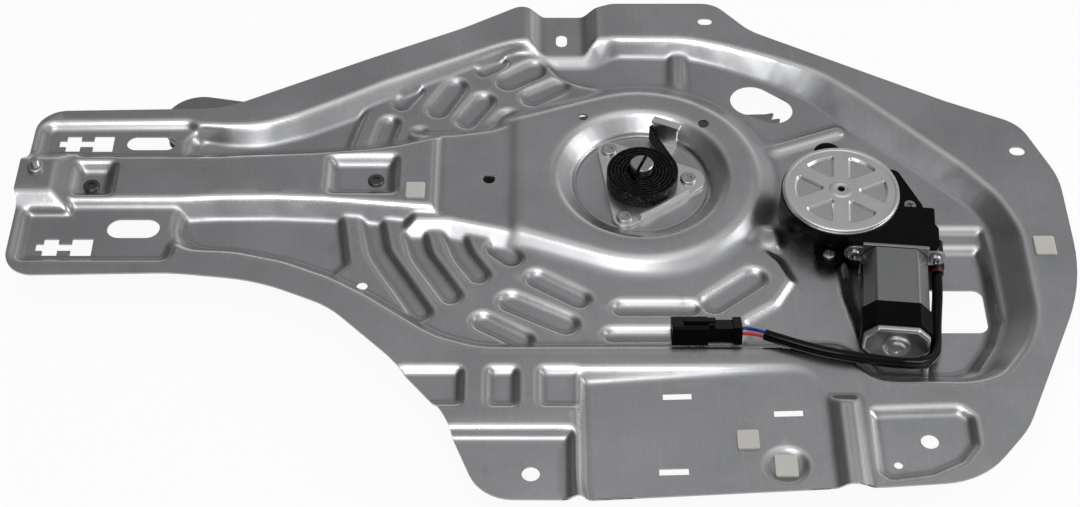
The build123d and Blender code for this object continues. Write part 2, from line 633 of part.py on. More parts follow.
def involute(base, radius):
    """Angle in degrees by which an involute from the base circle has turned at a radius."""
    alpha = math.acos(min(1.0, base / radius))
    return math.degrees(math.tan(alpha) - alpha)


def tooth_flank(teeth, addendum, dedendum):
    """Half a tooth, as (half angle in degrees, radius) from its root to its tip."""
    pitch = MODULE * teeth / 2
    base = pitch * math.cos(math.radians(PRESSURE_ANGLE))
    root = pitch - dedendum * MODULE
    tip = pitch + addendum * MODULE
    half = 90.0 / teeth - math.degrees(BACKLASH / 2 / pitch) + involute(base, pitch)
    low = max(base, root)
    radii = [low + (tip - low) * step / 3 for step in range(4)]
    flank = [(half - involute(base, radius), radius) for radius in radii]
    if root < low:
        flank.insert(0, (flank[0][0], root))
    return flank


def toothed_edge(teeth, first, last, phase):
    """Points of a toothed edge, from one angle to another, counter-clockwise."""
    flank = tooth_flank(teeth, ADDENDUM, DEDENDUM)
    pitch_angle = 360.0 / teeth
    count = math.ceil((first - phase) / pitch_angle)
    points = []
    while phase + count * pitch_angle <= last:
        middle = phase + count * pitch_angle
        points += [polar(middle - half, radius) for half, radius in flank]
        points += [polar(middle + half, radius) for half, radius in reversed(flank)]
        count += 1
    return points


def mesh_direction():
    """Direction of the pinion from the pivot, seen with the rail along X."""
    return PINION_DIRECTION - RAIL_TILT


def sector_gear():
    """Toothed sector under the arm, with an open window to save weight."""
    rim = toothed_edge(SECTOR_FULL_TEETH, SECTOR_FIRST_ANGLE, SECTOR_LAST_ANGLE, mesh_direction())
    rim.append((SECTOR_SHOULDER, rim[-1][1]))
    hub = [polar(angle, LIFT_ARM_ROOT_WIDTH / 2) for angle in (100, 130, 160, 190, 220, 250)]
    face = make_face(Polyline(*[(x, y, SECTOR_BOTTOM) for x, y in rim + hub], close=True).edges())
    sector = extrude(face, amount=SECTOR_SHEET, dir=(0, 0, 1))
    inner = SECTOR_RADIUS - SECTOR_WEB
    for start, end in SECTOR_WINDOWS:
        crown = inner / math.cos(math.radians((end - start) / 2))
        corners = [polar(start, inner) + (8.0,), polar((start + end) / 2, crown) + (40.0,),
                   polar(end, inner) + (8.0,), polar((start + end) / 2, SECTOR_WINDOW_TIP) + (7.0,)]
        sector -= extrude(face_of(corners, SECTOR_BOTTOM - 1), amount=SECTOR_SHEET + 2, dir=(0, 0, 1))
    sector -= disc(0, 0, SHAFT_RADIUS, SECTOR_BOTTOM - 1, ARM_TOP)
    for spot in sector_rivet_points():
        sector -= disc(*spot, SECTOR_RIVET_RADIUS, SECTOR_BOTTOM - 1, ARM_TOP)
    return on_rail(sector)


def sector_rivets():
    """Flush above, headed below."""
    rivets = []
    for spot in sector_rivet_points():
        body = disc(*spot, SECTOR_RIVET_RADIUS, SECTOR_BOTTOM, ARM_TOP)
        rivets.append(on_rail(body + disc(*spot, SECTOR_RIVET_RADIUS + 2, SECTOR_BOTTOM - RIVET_HEAD,
                                          SECTOR_BOTTOM)))
    return rivets


def equaliser_half(end, bottom, bore):
    """One half of the equaliser, from the scissor pin to its slider."""
    points = linkage()
    start = points["scissor"]
    half = strip(start, points[end], EQUALISER_WIDTH / 2 + 3, EQUALISER_WIDTH / 2 - 2, bottom,
                 bottom + EQUALISER_SHEET)
    half -= disc(*start, bore, bottom - 1, bottom + EQUALISER_SHEET + 1)
    half -= disc(*points[end], STUD_RADIUS, bottom - 1, bottom + EQUALISER_SHEET + 1)
    return on_rail(half)


def equaliser_lower():
    return equaliser_half("rail_end", HALF_ARM_LEVEL - EQUALISER_SHEET, SCISSOR_RADIUS)


def equaliser_upper():
    return equaliser_half("glass_end", UPPER_HALF_BOTTOM, SCISSOR_RADIUS)


def scissor_pin():
    """Pin that joins both halves and turns in the lift arm."""
    x, y = linkage()["scissor"]
    pin = disc(x, y, SCISSOR_RADIUS, UPPER_HALF_BOTTOM, HALF_ARM_LEVEL)
    pin += disc(x, y, SCISSOR_COLLAR_RADIUS, UPPER_HALF_TOP, ARM_BOTTOM - SLIDER_PLAY)
    pin += disc(x, y, SCISSOR_COLLAR_RADIUS, ARM_TOP + SLIDER_PLAY, HALF_ARM_LEVEL - EQUALISER_SHEET)
    pin += disc(x, y, SCISSOR_COLLAR_RADIUS, UPPER_HALF_BOTTOM - STUD_HEAD, UPPER_HALF_BOTTOM)
    return on_rail(pin)


def rail_stud():
    """Stud from the lower half up into the slider in the rail."""
    x, y = linkage()["rail_end"]
    low = HALF_ARM_LEVEL - EQUALISER_SHEET
    stud = disc(x, y, STUD_RADIUS, low, slider_top() - SLIDER_PLAY)
    return on_rail(stud)


def glass_stud(end, seat_bottom, seat_top):
    """Stud from an arm down through the slider on the glass side."""
    x, y = linkage()[end]
    stud = disc(x, y, STUD_RADIUS, GLASS_SLIDER_BOTTOM - SLIDER_PLAY, seat_top)
    stud += disc(x, y, STUD_HEAD_RADIUS, GLASS_SLIDER_BOTTOM - SLIDER_PLAY - STUD_HEAD,
                 GLASS_SLIDER_BOTTOM - SLIDER_PLAY)
    stud += disc(x, y, STUD_HEAD_RADIUS, GLASS_SLIDER_TOP + SLIDER_PLAY, seat_bottom)
    return on_rail(stud)


def pivot_shaft():
    """Shaft of the lift arm: slotted for the spring, riveted under the sector."""
    head = disc(0, 0, SHAFT_RADIUS, SECTOR_BOTTOM, SHAFT_TOP)
    head = chamfer(head.edges().group_by(Axis.Z)[-1], 0.6)
    slot = Pos(0, 0, SHAFT_TOP - SHAFT_SLOT_DEPTH) * Rot(0, 0, SLOT_DIRECTION - RAIL_TILT) * Box(
        3 * SHAFT_RADIUS, SHAFT_SLOT, SHAFT_SLOT_DEPTH + 1, align=(Align.CENTER, Align.CENTER, Align.MIN))
    head -= slot
    head += disc(0, 0, SHAFT_RADIUS + 3, SECTOR_BOTTOM - RIVET_HEAD, SECTOR_BOTTOM)
    return on_rail(head)


def pivot_bush():
    """Spacer between the dish and the lift arm, round the shaft."""
    ring = disc(PIVOT_X, PIVOT_Y, BUSH_RADIUS, ARM_TOP + SLIDER_PLAY, DISH_UNDERSIDE)
    return ring - disc(PIVOT_X, PIVOT_Y, SHAFT_RADIUS + RUNNING_FIT, ARM_TOP - 1, DISH_UNDERSIDE + 1)


def plate_rivet_points():
    return [(PIVOT_X + x, PIVOT_Y + y) for x, y in (polar(a, r) for a, r in PLATE_RIVET_PLACES)]


def pivot_plate():
    """Triangular plate in the dish, with a turned-up lip and the tab that holds the spring."""
    tab_x, tab_y = polar(TAB_ANGLE, TAB_REACH)
    circles = [(x, y, radius) for (x, y), radius in zip(plate_rivet_points(), PLATE_CORNERS)]
    reach = TAB_REACH + PLATE_SHEET / 2
    middle_x, middle_y = polar(TAB_ANGLE, reach / 2)
    neck = Pos(PIVOT_X + middle_x, PIVOT_Y + middle_y, DISH_FLOOR_LEVEL) * Rot(0, 0, TAB_ANGLE) * Rectangle(
        reach, TAB_WIDTH)
    face = hull_of(circles, DISH_FLOOR_LEVEL) + neck
    plate = extrude(face, amount=PLATE_SHEET, dir=(0, 0, 1))
    tab = Box(PLATE_SHEET, TAB_WIDTH, TAB_TOP - DISH_FLOOR_LEVEL, align=(Align.CENTER, Align.CENTER, Align.MIN))
    flange = Pos(TAB_FLANGE / 2 - PLATE_SHEET / 2, 0, TAB_TOP - DISH_FLOOR_LEVEL - PLATE_SHEET) * Box(
        TAB_FLANGE, TAB_WIDTH + 2, PLATE_SHEET, align=(Align.CENTER, Align.CENTER, Align.MIN))
    tab = Pos(PIVOT_X + tab_x, PIVOT_Y + tab_y, DISH_FLOOR_LEVEL) * Rot(0, 0, TAB_ANGLE) * (tab + flange)
    low, right = plate_rivet_points()[:2]
    length = math.dist(low, right)
    turn = math.degrees(math.atan2(right[1] - low[1], right[0] - low[0])
                        - math.asin((PLATE_CORNERS[1] - PLATE_CORNERS[0]) / length))
    inset = (PLATE_CORNERS[0] + PLATE_CORNERS[1]) / 2 - PLATE_SHEET / 2 - PLATE_LIP_INSET
    out_x, out_y = polar(turn - 90, inset)
    lip = Pos((low[0] + right[0]) / 2 + out_x, (low[1] + right[1]) / 2 + out_y, DISH_FLOOR_LEVEL) * Rot(
        0, 0, turn) * Box(length - 2 * PLATE_CORNERS[0], PLATE_SHEET, PLATE_SHEET + PLATE_LIP,
                          align=(Align.CENTER, Align.CENTER, Align.MIN))
    plate = plate + tab + lip
    plate -= disc(PIVOT_X, PIVOT_Y, SHAFT_RADIUS + RUNNING_FIT, DISH_FLOOR_LEVEL - 1, PLATE_TOP + 1)
    for x, y in plate_rivet_points():
        plate -= disc(x, y, RIVET_RADIUS, DISH_FLOOR_LEVEL - 1, PLATE_TOP + 1)
    return plate


def pivot_plate_rivets():
    return [rivet(x, y, PLATE_TOP, DISH_UNDERSIDE) for x, y in plate_rivet_points()]


def walk(place, heading, moves, side):
    """Edges beside a path of straight runs (length, 0) and bends (turn, radius), at an offset to its left."""
    x, y = place
    edges = []
    for amount, radius in moves:
        left_x, left_y = polar(heading + 90.0, 1.0)
        if radius == 0:
            along_x, along_y = polar(heading, amount)
            begin = (x + side * left_x, y + side * left_y)
            x, y = x + along_x, y + along_y
            edges.append(Line(begin, (x + side * left_x, y + side * left_y)).edge())
            continue
        bend = math.copysign(radius, amount)
        centre = (x + bend * left_x, y + bend * left_y)
        from_angle = heading - math.copysign(90.0, amount)
        edges.append(CenterArc(centre, abs(bend - side), from_angle, amount).edge())
        heading += amount
        dx, dy = polar(from_angle + amount, radius)
        x, y = centre[0] + dx, centre[1] + dy
    return edges, (x, y), heading


def spring_moves():
    """Out of the shaft's slot, round the spiral, then straight to the tab and round its edge."""
    start_heading = SLOT_DIRECTION + 180.0
    moves = [(SHAFT_RADIUS, 0.0), (SPRING_BEND_TURN, SPRING_BEND)]
    place = walk((0, 0), start_heading, moves, 0.0)[1]
    radius = math.hypot(*place)
    for i in range(SPRING_HALF_TURNS - 1):
        moves.append((180.0, radius + SPRING_PITCH / 2 * i))
    last = radius + SPRING_PITCH / 2 * (SPRING_HALF_TURNS - 1)
    (x, y), heading = walk((0, 0), start_heading, moves, 0.0)[1:]
    left_x, left_y = polar(heading + 90.0, last)
    centre = (x + left_x, y + left_y)
    tab_x, tab_y = polar(TAB_ANGLE, TAB_REACH + HOOK_CENTRE[0])
    side_x, side_y = polar(TAB_ANGLE + 90.0, HOOK_CENTRE[1])
    hook = (tab_x + side_x, tab_y + side_y)
    gap = math.dist(centre, hook)
    direction = math.degrees(math.atan2(hook[1] - centre[1], hook[0] - centre[0]))
    lean = math.degrees(math.asin((last + HOOK_BEND) / gap))
    leave = direction + lean
    moves.append(((leave - heading) % 360.0, last))
    moves.append((gap * math.cos(math.radians(lean)), 0.0))
    moves.append((TAB_ANGLE + HOOK_TURN_END - leave, HOOK_BEND))
    moves.append((HOOK_TAIL, 0.0))
    return start_heading, moves


def clock_spring():
    """Spiral strip from the slot of the shaft to the tab of the plate."""
    heading, moves = spring_moves()
    left = walk((0, 0), heading, moves, SPRING_STRIP / 2)[0]
    right = walk((0, 0), heading, moves, -SPRING_STRIP / 2)[0]
    ends = [Line(left[0] @ 0, right[0] @ 0).edge(), Line(left[-1] @ 1, right[-1] @ 1).edge()]
    coil = extrude(make_face(left + right + ends), amount=SPRING_HEIGHT)
    return Pos(PIVOT_X, PIVOT_Y, PLATE_TOP + SPRING_LIFT) * coil


def on_motor(part):
    """Bring a piece drawn round the gear's axis, with the can along -Y, into place."""
    return Pos(GEAR_X, GEAR_Y, 0) * Rot(0, 0, MOTOR_TURN) * part


def cable_exit(back):
    """Plane across the cable's first run, a distance back from its start, facing into the case."""
    start = Vector(*CABLE_ROUTE[0])
    inward = (start - Vector(*CABLE_ROUTE[1])).normalized()
    return Plane(origin=start + inward * back, z_dir=inward)


def case_outline(level):
    """Drum of the gear case and the block for the worm, as one face."""
    drum = Pos(0, 0, level) * Circle(CASE_RADIUS)
    return drum + face_of(WORM_BLOCK, level)


def gear_case():
    """Moulded case: drum with its pocket for the worm wheel, worm block, ears and ribs."""
    case = extrude(case_outline(FLOOR_LEVEL), amount=CASE_HEIGHT, dir=(0, 0, 1))
    lobe = hull_of([CASE_LOBE, (*case_ear_points()[1], EAR_RADIUS), (12, 6, CASE_RADIUS / 2)], FLOOR_LEVEL)
    case += extrude(lobe, amount=EAR_HEIGHT, dir=(0, 0, 1))
    for x, y in case_ear_points():
        face = hull_of([(x, y, EAR_RADIUS), (x * 0.5, y * 0.5, EAR_RADIUS + 4)], FLOOR_LEVEL)
        case += extrude(face, amount=EAR_HEIGHT, dir=(0, 0, 1))
    case += disc(0, 0, PINION_HOLE_RADIUS - 0.3, FLOOR_LEVEL - SHEET - 1.5, FLOOR_LEVEL)
    case -= disc(0, 0, CASE_RADIUS - CASE_WALL, FLOOR_LEVEL + CASE_WALL, CASE_TOP + 1)
    case -= disc(0, 0, PINION_SHAFT_RADIUS + RUNNING_FIT, FLOOR_LEVEL - 5, FLOOR_LEVEL + CASE_WALL + 1)
    for x, y in case_ear_points():
        case -= disc(x, y, SCREW_SHANK_RADIUS, FLOOR_LEVEL - 1, FLOOR_LEVEL + EAR_HEIGHT + 1)
    for side in (-1, 1):
        case -= can_screw_seat(side, CAN_START) * Cylinder(SCREW_SHANK_RADIUS, 2 * CAN_SCREW_REACH)
    socket = cable_exit(GROMMET_LENGTH) * Cylinder(
        SOCKET_RADIUS, SOCKET_LENGTH, align=(Align.CENTER, Align.CENTER, Align.MIN))
    return on_motor(case) + socket


def pie(start, end, inner, outer, level):
    """Slice of a disc between two angles, with its point and corners rounded."""
    middle = (start + end) / 2
    tip, far = polar(middle, inner), [polar(angle, 2 * outer) for angle in (start, end)]
    slice_face = face_of([tip, far[0], far[1]], level) & Pos(0, 0, level) * Circle(outer)
    return fillet(slice_face.vertices(), 2.0)


def gear_cover():
    """Pressed steel lid of the gear case, with sunk panels between its spokes."""
    cover = disc(0, 0, COVER_RADIUS, CASE_TOP, CASE_TOP + COVER_THICK)
    cover = fillet(cover.edges().group_by(Axis.Z)[-1], 1.4)
    cover += disc(0, 0, COVER_RADIUS + COVER_LIP, CASE_TOP, CASE_TOP + 1.0)
    step = 360.0 / COVER_SPOKES
    for i in range(COVER_SPOKES):
        start = 90.0 + step * i + COVER_SPOKE_ANGLE
        face = pie(start, start + step - 2 * COVER_SPOKE_ANGLE, COVER_HUB, COVER_RADIUS - COVER_RIM,
                   CASE_TOP + COVER_THICK)
        cover -= sunk(face, COVER_RECESS)
    cover -= disc(0, 0, COVER_HOLE_RADIUS, CASE_TOP - 1, CASE_TOP + COVER_THICK + 1)
    return on_motor(cover)


def worm_wheel():
    """Wheel on the pinion's shaft, inside the case."""
    low = FLOOR_LEVEL + CASE_WALL + LAYER_GAP
    wheel = disc(0, 0, WHEEL_RADIUS, low, low + WHEEL_THICK)
    wheel -= disc(0, 0, PINION_SHAFT_RADIUS, low - 1, low + WHEEL_THICK + 1)
    return on_motor(wheel)


def drive_pinion():
    """Pinion with its shaft up into the worm wheel."""
    middle = (ARM_BOTTOM + SECTOR_BOTTOM) / 2
    phase = 180.0 + PINION_DIRECTION + 180.0 / PINION_TEETH
    points = toothed_edge(PINION_TEETH, phase, phase + 359.0, phase)
    bottom = middle - PINION_FACE / 2
    face = make_face(Polyline(*[(x, y, bottom) for x, y in points], close=True).edges())
    pinion = extrude(face, amount=PINION_FACE, dir=(0, 0, 1))
    low = FLOOR_LEVEL + CASE_WALL + LAYER_GAP
    pinion += disc(0, 0, PINION_SHAFT_RADIUS, bottom, low + WHEEL_THICK)
    return Pos(GEAR_X, GEAR_Y, 0) * pinion


def can_profile(grow, start):
    """Cross-section of the motor can, as a face across Y."""
    wide, high = CAN_WIDTH / 2 + grow, CAN_HEIGHT / 2 + grow
    corner = CAN_CHAMFER
    outline = [(-wide + corner, -high), (wide - corner, -high), (wide, -high + corner), (wide, high - corner),
               (wide - corner, high), (-wide + corner, high), (-wide, high - corner), (-wide, -high + corner)]
    points = [(CAN_OFFSET + x, -start, CAN_CENTRE_LEVEL + z) for x, z in outline]
    return make_face(FilletPolyline(*points, radius=3.0, close=True).edges())


def along_can(face, length):
    return extrude(face, amount=length, dir=(0, -1, 0))


def motor_flange():
    """Steel flange between the case and the can, with an ear for each screw."""
    reach = FLANGE_SCREW_SPREAD / 2
    ears = hull_of([(side * reach, FLANGE_SCREW_RISE, FLANGE_EAR_RADIUS) for side in (-1, 1)])
    face = ears + Rectangle(CAN_WIDTH, CAN_HEIGHT)
    plate = Pos(CAN_OFFSET, -CAN_START, CAN_CENTRE_LEVEL) * Rot(90, 0, 0) * extrude(face, amount=FLANGE_THICK)
    for side in (-1, 1):
        plate -= can_screw_seat(side, CAN_START) * Cylinder(SCREW_SHANK_RADIUS, 4 * FLANGE_THICK)
    return on_motor(plate)


def motor_can():
    start = CAN_START + FLANGE_THICK
    can = along_can(can_profile(0, start), CAN_LENGTH)
    can -= along_can(can_profile(-CAN_WALL, start + CAN_WALL), CAN_LENGTH)
    return on_motor(can)


def motor_band():
    band = along_can(can_profile(BAND_THICK, BAND_FRONT), BAND_LENGTH)
    band -= along_can(can_profile(0, BAND_FRONT - 1), BAND_LENGTH + 2)
    return on_motor(band)


def motor_end_cap():
    """Pressed end cap with the stepped bearing boss."""
    cap = along_can(can_profile(-END_CAP_INSET, CAP_FRONT), END_CAP_THICK)
    cap = fillet(cap.faces().sort_by(Axis.Y)[0].edges(), END_CAP_ROUND)
    boss = Pos(CAN_OFFSET, -CAP_FRONT - END_CAP_THICK, CAN_CENTRE_LEVEL) * Rot(90, 0, 0)
    for radius, length in END_BOSS_STEPS:
        cap += boss * Cylinder(radius, length, align=(Align.CENTER, Align.CENTER, Align.MIN))
    return on_motor(cap)


def case_screws():
    top = FLOOR_LEVEL + EAR_HEIGHT
    screws = []
    for x, y in case_screw_points():
        screw = disc(x, y, SCREW_HEAD_RADIUS, top, top + SCREW_HEAD)
        screw = fillet(screw.edges().group_by(Axis.Z)[-1], SCREW_HEAD * 0.5)
        screw += disc(x, y, SCREW_SHANK_RADIUS, FLOOR_LEVEL - SHEET, top)
        screws.append(screw)
    return screws


def can_screw_seat(side, start):
    """Place of a can screw, at a distance along the can, with Z towards the screw's head."""
    return Pos(CAN_OFFSET + side * FLANGE_SCREW_SPREAD / 2, -start, CAN_SCREW_LEVEL) * Rot(90, 0, 0)


def can_screws():
    """Screws through the flange into the case."""
    screws = []
    for side in (-1, 1):
        seat = can_screw_seat(side, CAN_START + FLANGE_THICK)
        head = Cylinder(SCREW_HEAD_RADIUS, SCREW_HEAD, align=(Align.CENTER, Align.CENTER, Align.MIN))
        shank = Cylinder(SCREW_SHANK_RADIUS, FLANGE_THICK + CAN_SCREW_REACH,
                         align=(Align.CENTER, Align.CENTER, Align.MAX))
        screws.append(on_motor(seat * (head + shank)))
    return screws


def tube(points, radii, diameter):
    """Round tube along straight runs joined by arcs."""
    path = FilletPolyline(*points, radius=radii) if radii else Line(*points)
    start = Vector(*points[0])
    along = (Vector(*points[1]) - start).normalized()
    section = Plane(origin=start, z_dir=along) * Circle(diameter / 2)
    return sweep(section, path=path.wire() if radii else path)


def route_radii(points):
    """Largest arc that each corner's two runs allow."""
    radii = []
    for before, here, after in zip(points, points[1:], points[2:]):
        first, second = Vector(*here) - Vector(*before), Vector(*after) - Vector(*here)
        half_turn = math.radians(first.get_angle(second)) / 2
        radii.append(0.45 * min(first.length, second.length) / math.tan(half_turn))
    return radii


def cable_sleeve():
    radii = route_radii(CABLE_ROUTE)
    print("cable radii", [round(r, 1) for r in radii])
    sleeve = tube(CABLE_ROUTE, radii, SLEEVE_DIAMETER)
    length = FilletPolyline(*CABLE_ROUTE, radius=radii).length
    section = math.pi * SLEEVE_DIAMETER ** 2 / 4
    print("cable length", round(length, 1), "volume share", round(sleeve.volume / section / length, 4))
    return sleeve


def cable_grommet():
    """Rubber grommet where the cable leaves the case."""
    return cable_exit(0) * Cylinder(GROMMET_RADIUS, GROMMET_LENGTH, align=(Align.CENTER, Align.CENTER, Align.MIN))


def lead(side):
    """One lead, from the end of the sleeve to the back of the connector."""
    end = Vector(*CABLE_ROUTE[-1])
    along = (end - Vector(*CABLE_ROUTE[-2])).normalized()
    across = Vector(0, 0, 1).cross(along).normalized() * (-side * SLEEVE_DIAMETER / 4)
    start = end + across
    back = (on_connector() * Pos(CONNECTOR_LENGTH / 2, side * LEAD_SPREAD, 0)).position
    points = [start, start + along * LEAD_STRAIGHT, back + Vector(LEAD_STRAIGHT, 0, 0), back]
    points = [tuple(point) for point in points]
    radii = route_radii(points)
    print("lead radii", [round(r, 1) for r in radii])
    return tube(points, radii, LEAD_DIAMETER)


def lead_blue():
    return lead(1)


def lead_red():
    return lead(-1)


def on_connector():
    """Place of the connector: it leans against the basin's lower wall."""
    return Pos(*CONNECTOR_CENTRE) * Rot(CONNECTOR_LEAN, 0, 0)


def connector():
    """Two-way connector: body, key rails and the open mouth."""
    half = CONNECTOR_LENGTH / 2
    body = Pos(-half, 0, 0) * Box(CONNECTOR_LENGTH * FRONT_SHARE, CONNECTOR_WIDTH, CONNECTOR_HEIGHT,
                                  align=(Align.MIN, Align.CENTER, Align.CENTER))
    body = chamfer(body.edges().filter_by(Axis.X), 1.2)
    body += Box(CONNECTOR_LENGTH, CONNECTOR_WIDTH - REAR_STEP, CONNECTOR_HEIGHT - REAR_STEP)
    body += Pos(half, 0, 0) * Box(COLLAR_LENGTH, CONNECTOR_WIDTH - 1.0, CONNECTOR_HEIGHT - 1.0,
                                  align=(Align.MAX, Align.CENTER, Align.CENTER))
    body -= Pos(-half, 0, 0) * Box(2 * MOUTH_DEPTH, CONNECTOR_WIDTH - 2 * MOUTH_WALL,
                                   CONNECTOR_HEIGHT - 2 * MOUTH_WALL)
    latch_length, latch_width, latch_height = LATCH
    latch = Pos(-4, 0, CONNECTOR_HEIGHT / 2 + latch_height / 2) * Box(latch_length, latch_width, latch_height)
    return on_connector() * (body + latch)


def clip(x, y, level, wide, high, lean=0.0):
    """Square plastic clip that lies on the sheet."""
    plate = Pos(0, 0, CLIP_THICK / 2) * Box(wide, high, CLIP_THICK)
    plate = fillet(plate.edges().filter_by(Axis.Z), 1.2)
    plate = chamfer(plate.edges().group_by(Axis.Z)[-1], 0.4)
    return Pos(x, y, level) * Rot(0, lean, 0) * plate


def big_pad_level(x):
    """Level of the sloping pad at the lower edge."""
    return (x - 25.0) * BIG_PAD_SLOPE - BIG_PAD_DEEP


def plastic_clips():
    lean = -math.degrees(math.atan(BIG_PAD_SLOPE))
    x, y = SEATED_CLIP
    clips = [clip(-75.3, 50.3, CHANNEL_LEVEL, 11.5, 13.0), clip(297.6, 5.8, 0.0, 12.5, 14.5),
             clip(113.5, -135.3, big_pad_level(113.5), 12.0, 13.0, lean),
             clip(x, y, big_pad_level(x) - CLIP_SEAT_DEPTH, 12.5, 14.5)]
    return clips


def end_stud():
    """Welded stud at the raised left end."""
    x, y = END_STUD_PLACE
    stud = disc(x, y, 5.0, TIP_LEVEL, TIP_LEVEL + 2.0)
    stud += disc(x, y, 3.0, TIP_LEVEL + 2.0, TIP_LEVEL + 7.0)
    return stud


def locating_pin():
    x, y = PIN_PLACE
    return disc(x, y, PIN_RADIUS, WELL_LEVEL, WELL_LEVEL + PIN_HEIGHT)


def model():
    """Every sub-part by name, still in the drawing frame."""
    return {
        "panel": panel(),
        "guide_rail": guide_rail(),
        "rail_rivets": rail_rivets(),
        "rail_slider": rail_slider(),
        "rail_stud": rail_stud(),
        "lift_arm": lift_arm(),
        "sector_gear": sector_gear(),
        "sector_rivets": sector_rivets(),
        "lift_stud": glass_stud("tip", ARM_BOTTOM, ARM_TOP),
        "lift_slider": glass_slider("tip"),
        "equaliser_lower": equaliser_lower(),
        "equaliser_upper": equaliser_upper(),
        "equaliser_stud": glass_stud("glass_end", UPPER_HALF_BOTTOM, UPPER_HALF_TOP),
        "equaliser_slider": glass_slider("glass_end"),
        "scissor_pin": scissor_pin(),
        "pivot_plate": pivot_plate(),
        "pivot_plate_rivets": pivot_plate_rivets(),
        "pivot_shaft": pivot_shaft(),
        "pivot_bush": pivot_bush(),
        "clock_spring": clock_spring(),
        "gear_case": gear_case(),
        "gear_cover": gear_cover(),
        "worm_wheel": worm_wheel(),
        "drive_pinion": drive_pinion(),
        "case_screws": case_screws(),
        "motor_flange": motor_flange(),
        "motor_can": motor_can(),
        "motor_band": motor_band(),
        "motor_end_cap": motor_end_cap(),
        "can_screws": can_screws(),
        "cable_grommet": cable_grommet(),
        "cable_sleeve": cable_sleeve(),
        "lead_blue": lead_blue(),
        "lead_red": lead_red(),
        "connector": connector(),
        "plastic_clips": plastic_clips(),
        "end_stud": end_stud(),
        "locating_pin": locating_pin(),
    }


CORD_NODES = ("cable_sleeve", "lead_blue", "lead_red", "connector", "cable_grommet")


def main():
    os.makedirs("parts", exist_ok=True)
    nodes = {}
    for name, part in model().items():
        parts = part if isinstance(part, list) else [part]
        nodes[name] = [solid for piece in parts for solid in piece.solids()]
    body = [solid for name, solids in nodes.items() if name not in CORD_NODES for solid in solids]
    box = Compound(body).bounding_box()
    shift = (-(box.min.X + box.max.X) / 2, -(box.min.Y + box.max.Y) / 2, -box.min.Z)
    print("shift to the origin", [round(v, 4) for v in shift], "size", box.size)
    for name, solids in nodes.items():
        moved = [Pos(*shift) * solid for solid in solids]
        export_step(moved[0] if len(moved) == 1 else Compound(moved), f"parts/{name}.step")


if __name__ == "__main__":
    main()
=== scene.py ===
# %% [markdown]
# # A window regulator on its stamped carrier panel
# A power window regulator lifts the glass of a vehicle's door. Here a toothed sector and a pair of
# crossed arms hang behind a stamped steel panel, and a small gear motor with a clock spring drives them.
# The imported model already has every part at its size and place, so this lesson is about finish: light,
# materials, the soft folds of pressed steel, and the small things that make metal look like metal.

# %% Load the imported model
import json
import math

import bmesh
import bpy
import numpy as np
from mathutils import Matrix, Vector
from mathutils.bvhtree import BVHTree
from mathutils.geometry import delaunay_2d_cdt


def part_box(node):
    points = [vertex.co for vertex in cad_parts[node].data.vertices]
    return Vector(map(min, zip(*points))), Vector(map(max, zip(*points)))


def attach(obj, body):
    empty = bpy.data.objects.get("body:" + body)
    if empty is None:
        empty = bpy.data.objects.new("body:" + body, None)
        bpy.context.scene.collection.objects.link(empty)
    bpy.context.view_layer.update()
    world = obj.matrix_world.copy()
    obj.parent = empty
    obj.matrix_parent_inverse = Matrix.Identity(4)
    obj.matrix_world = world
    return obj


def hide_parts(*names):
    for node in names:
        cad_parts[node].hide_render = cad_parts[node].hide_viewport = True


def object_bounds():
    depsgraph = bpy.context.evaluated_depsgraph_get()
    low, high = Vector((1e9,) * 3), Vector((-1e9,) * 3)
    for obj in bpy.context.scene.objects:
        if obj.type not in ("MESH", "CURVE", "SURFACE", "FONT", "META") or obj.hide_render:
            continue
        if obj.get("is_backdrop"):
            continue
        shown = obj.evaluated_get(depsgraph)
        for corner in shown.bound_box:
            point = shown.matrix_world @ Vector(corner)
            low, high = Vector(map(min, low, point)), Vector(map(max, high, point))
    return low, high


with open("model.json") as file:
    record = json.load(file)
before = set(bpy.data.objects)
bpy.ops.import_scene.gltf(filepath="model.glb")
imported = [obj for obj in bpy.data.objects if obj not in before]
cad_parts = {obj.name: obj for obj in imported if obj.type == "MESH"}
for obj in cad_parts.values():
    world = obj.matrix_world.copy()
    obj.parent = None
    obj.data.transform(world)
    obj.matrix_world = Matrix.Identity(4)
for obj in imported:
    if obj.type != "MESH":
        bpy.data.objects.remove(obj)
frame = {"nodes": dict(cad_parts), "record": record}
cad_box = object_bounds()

nodes = frame["nodes"]
for plain in list(bpy.data.materials):
    bpy.data.materials.remove(plain)
print("nodes", len(nodes), "box", [round(v, 4) for corner in cad_box for v in corner])


def added(name, data):
    """A new object of the scene that shows this data."""
    made = bpy.data.objects.new(name, data)
    bpy.context.scene.collection.objects.link(made)
    return made


# %% [markdown]
# ## Units and places
# Blender works in metres, and a part like this is drawn in millimetres, so one constant turns one into
# the other. The drawing of the regulator puts its zero on the face of the panel's rim, and the packed
# model stands on its lowest stud, so a point of the drawing is moved by one fixed step. The pivot shaft
# ends at a known height over the rim's face, which tells how high that face lies.

# %% Millimetres and the drawing's zero
MM = 0.001
panel_low, panel_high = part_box("panel")
SHAFT_END = 6.5 * MM
ZERO_X, ZERO_Y = 0.5 * MM, -24.6016 * MM
RIM_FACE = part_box("pivot_shaft")[1].z - SHAFT_END
DRAWING_ZERO = Vector((ZERO_X, ZERO_Y, RIM_FACE))


def at(x, y, z):
    """A point of the drawing, in millimetres from the rim's face, as a place in the scene."""
    return DRAWING_ZERO + Vector((x, y, z)) * MM


print("rim face at", round(RIM_FACE, 5))

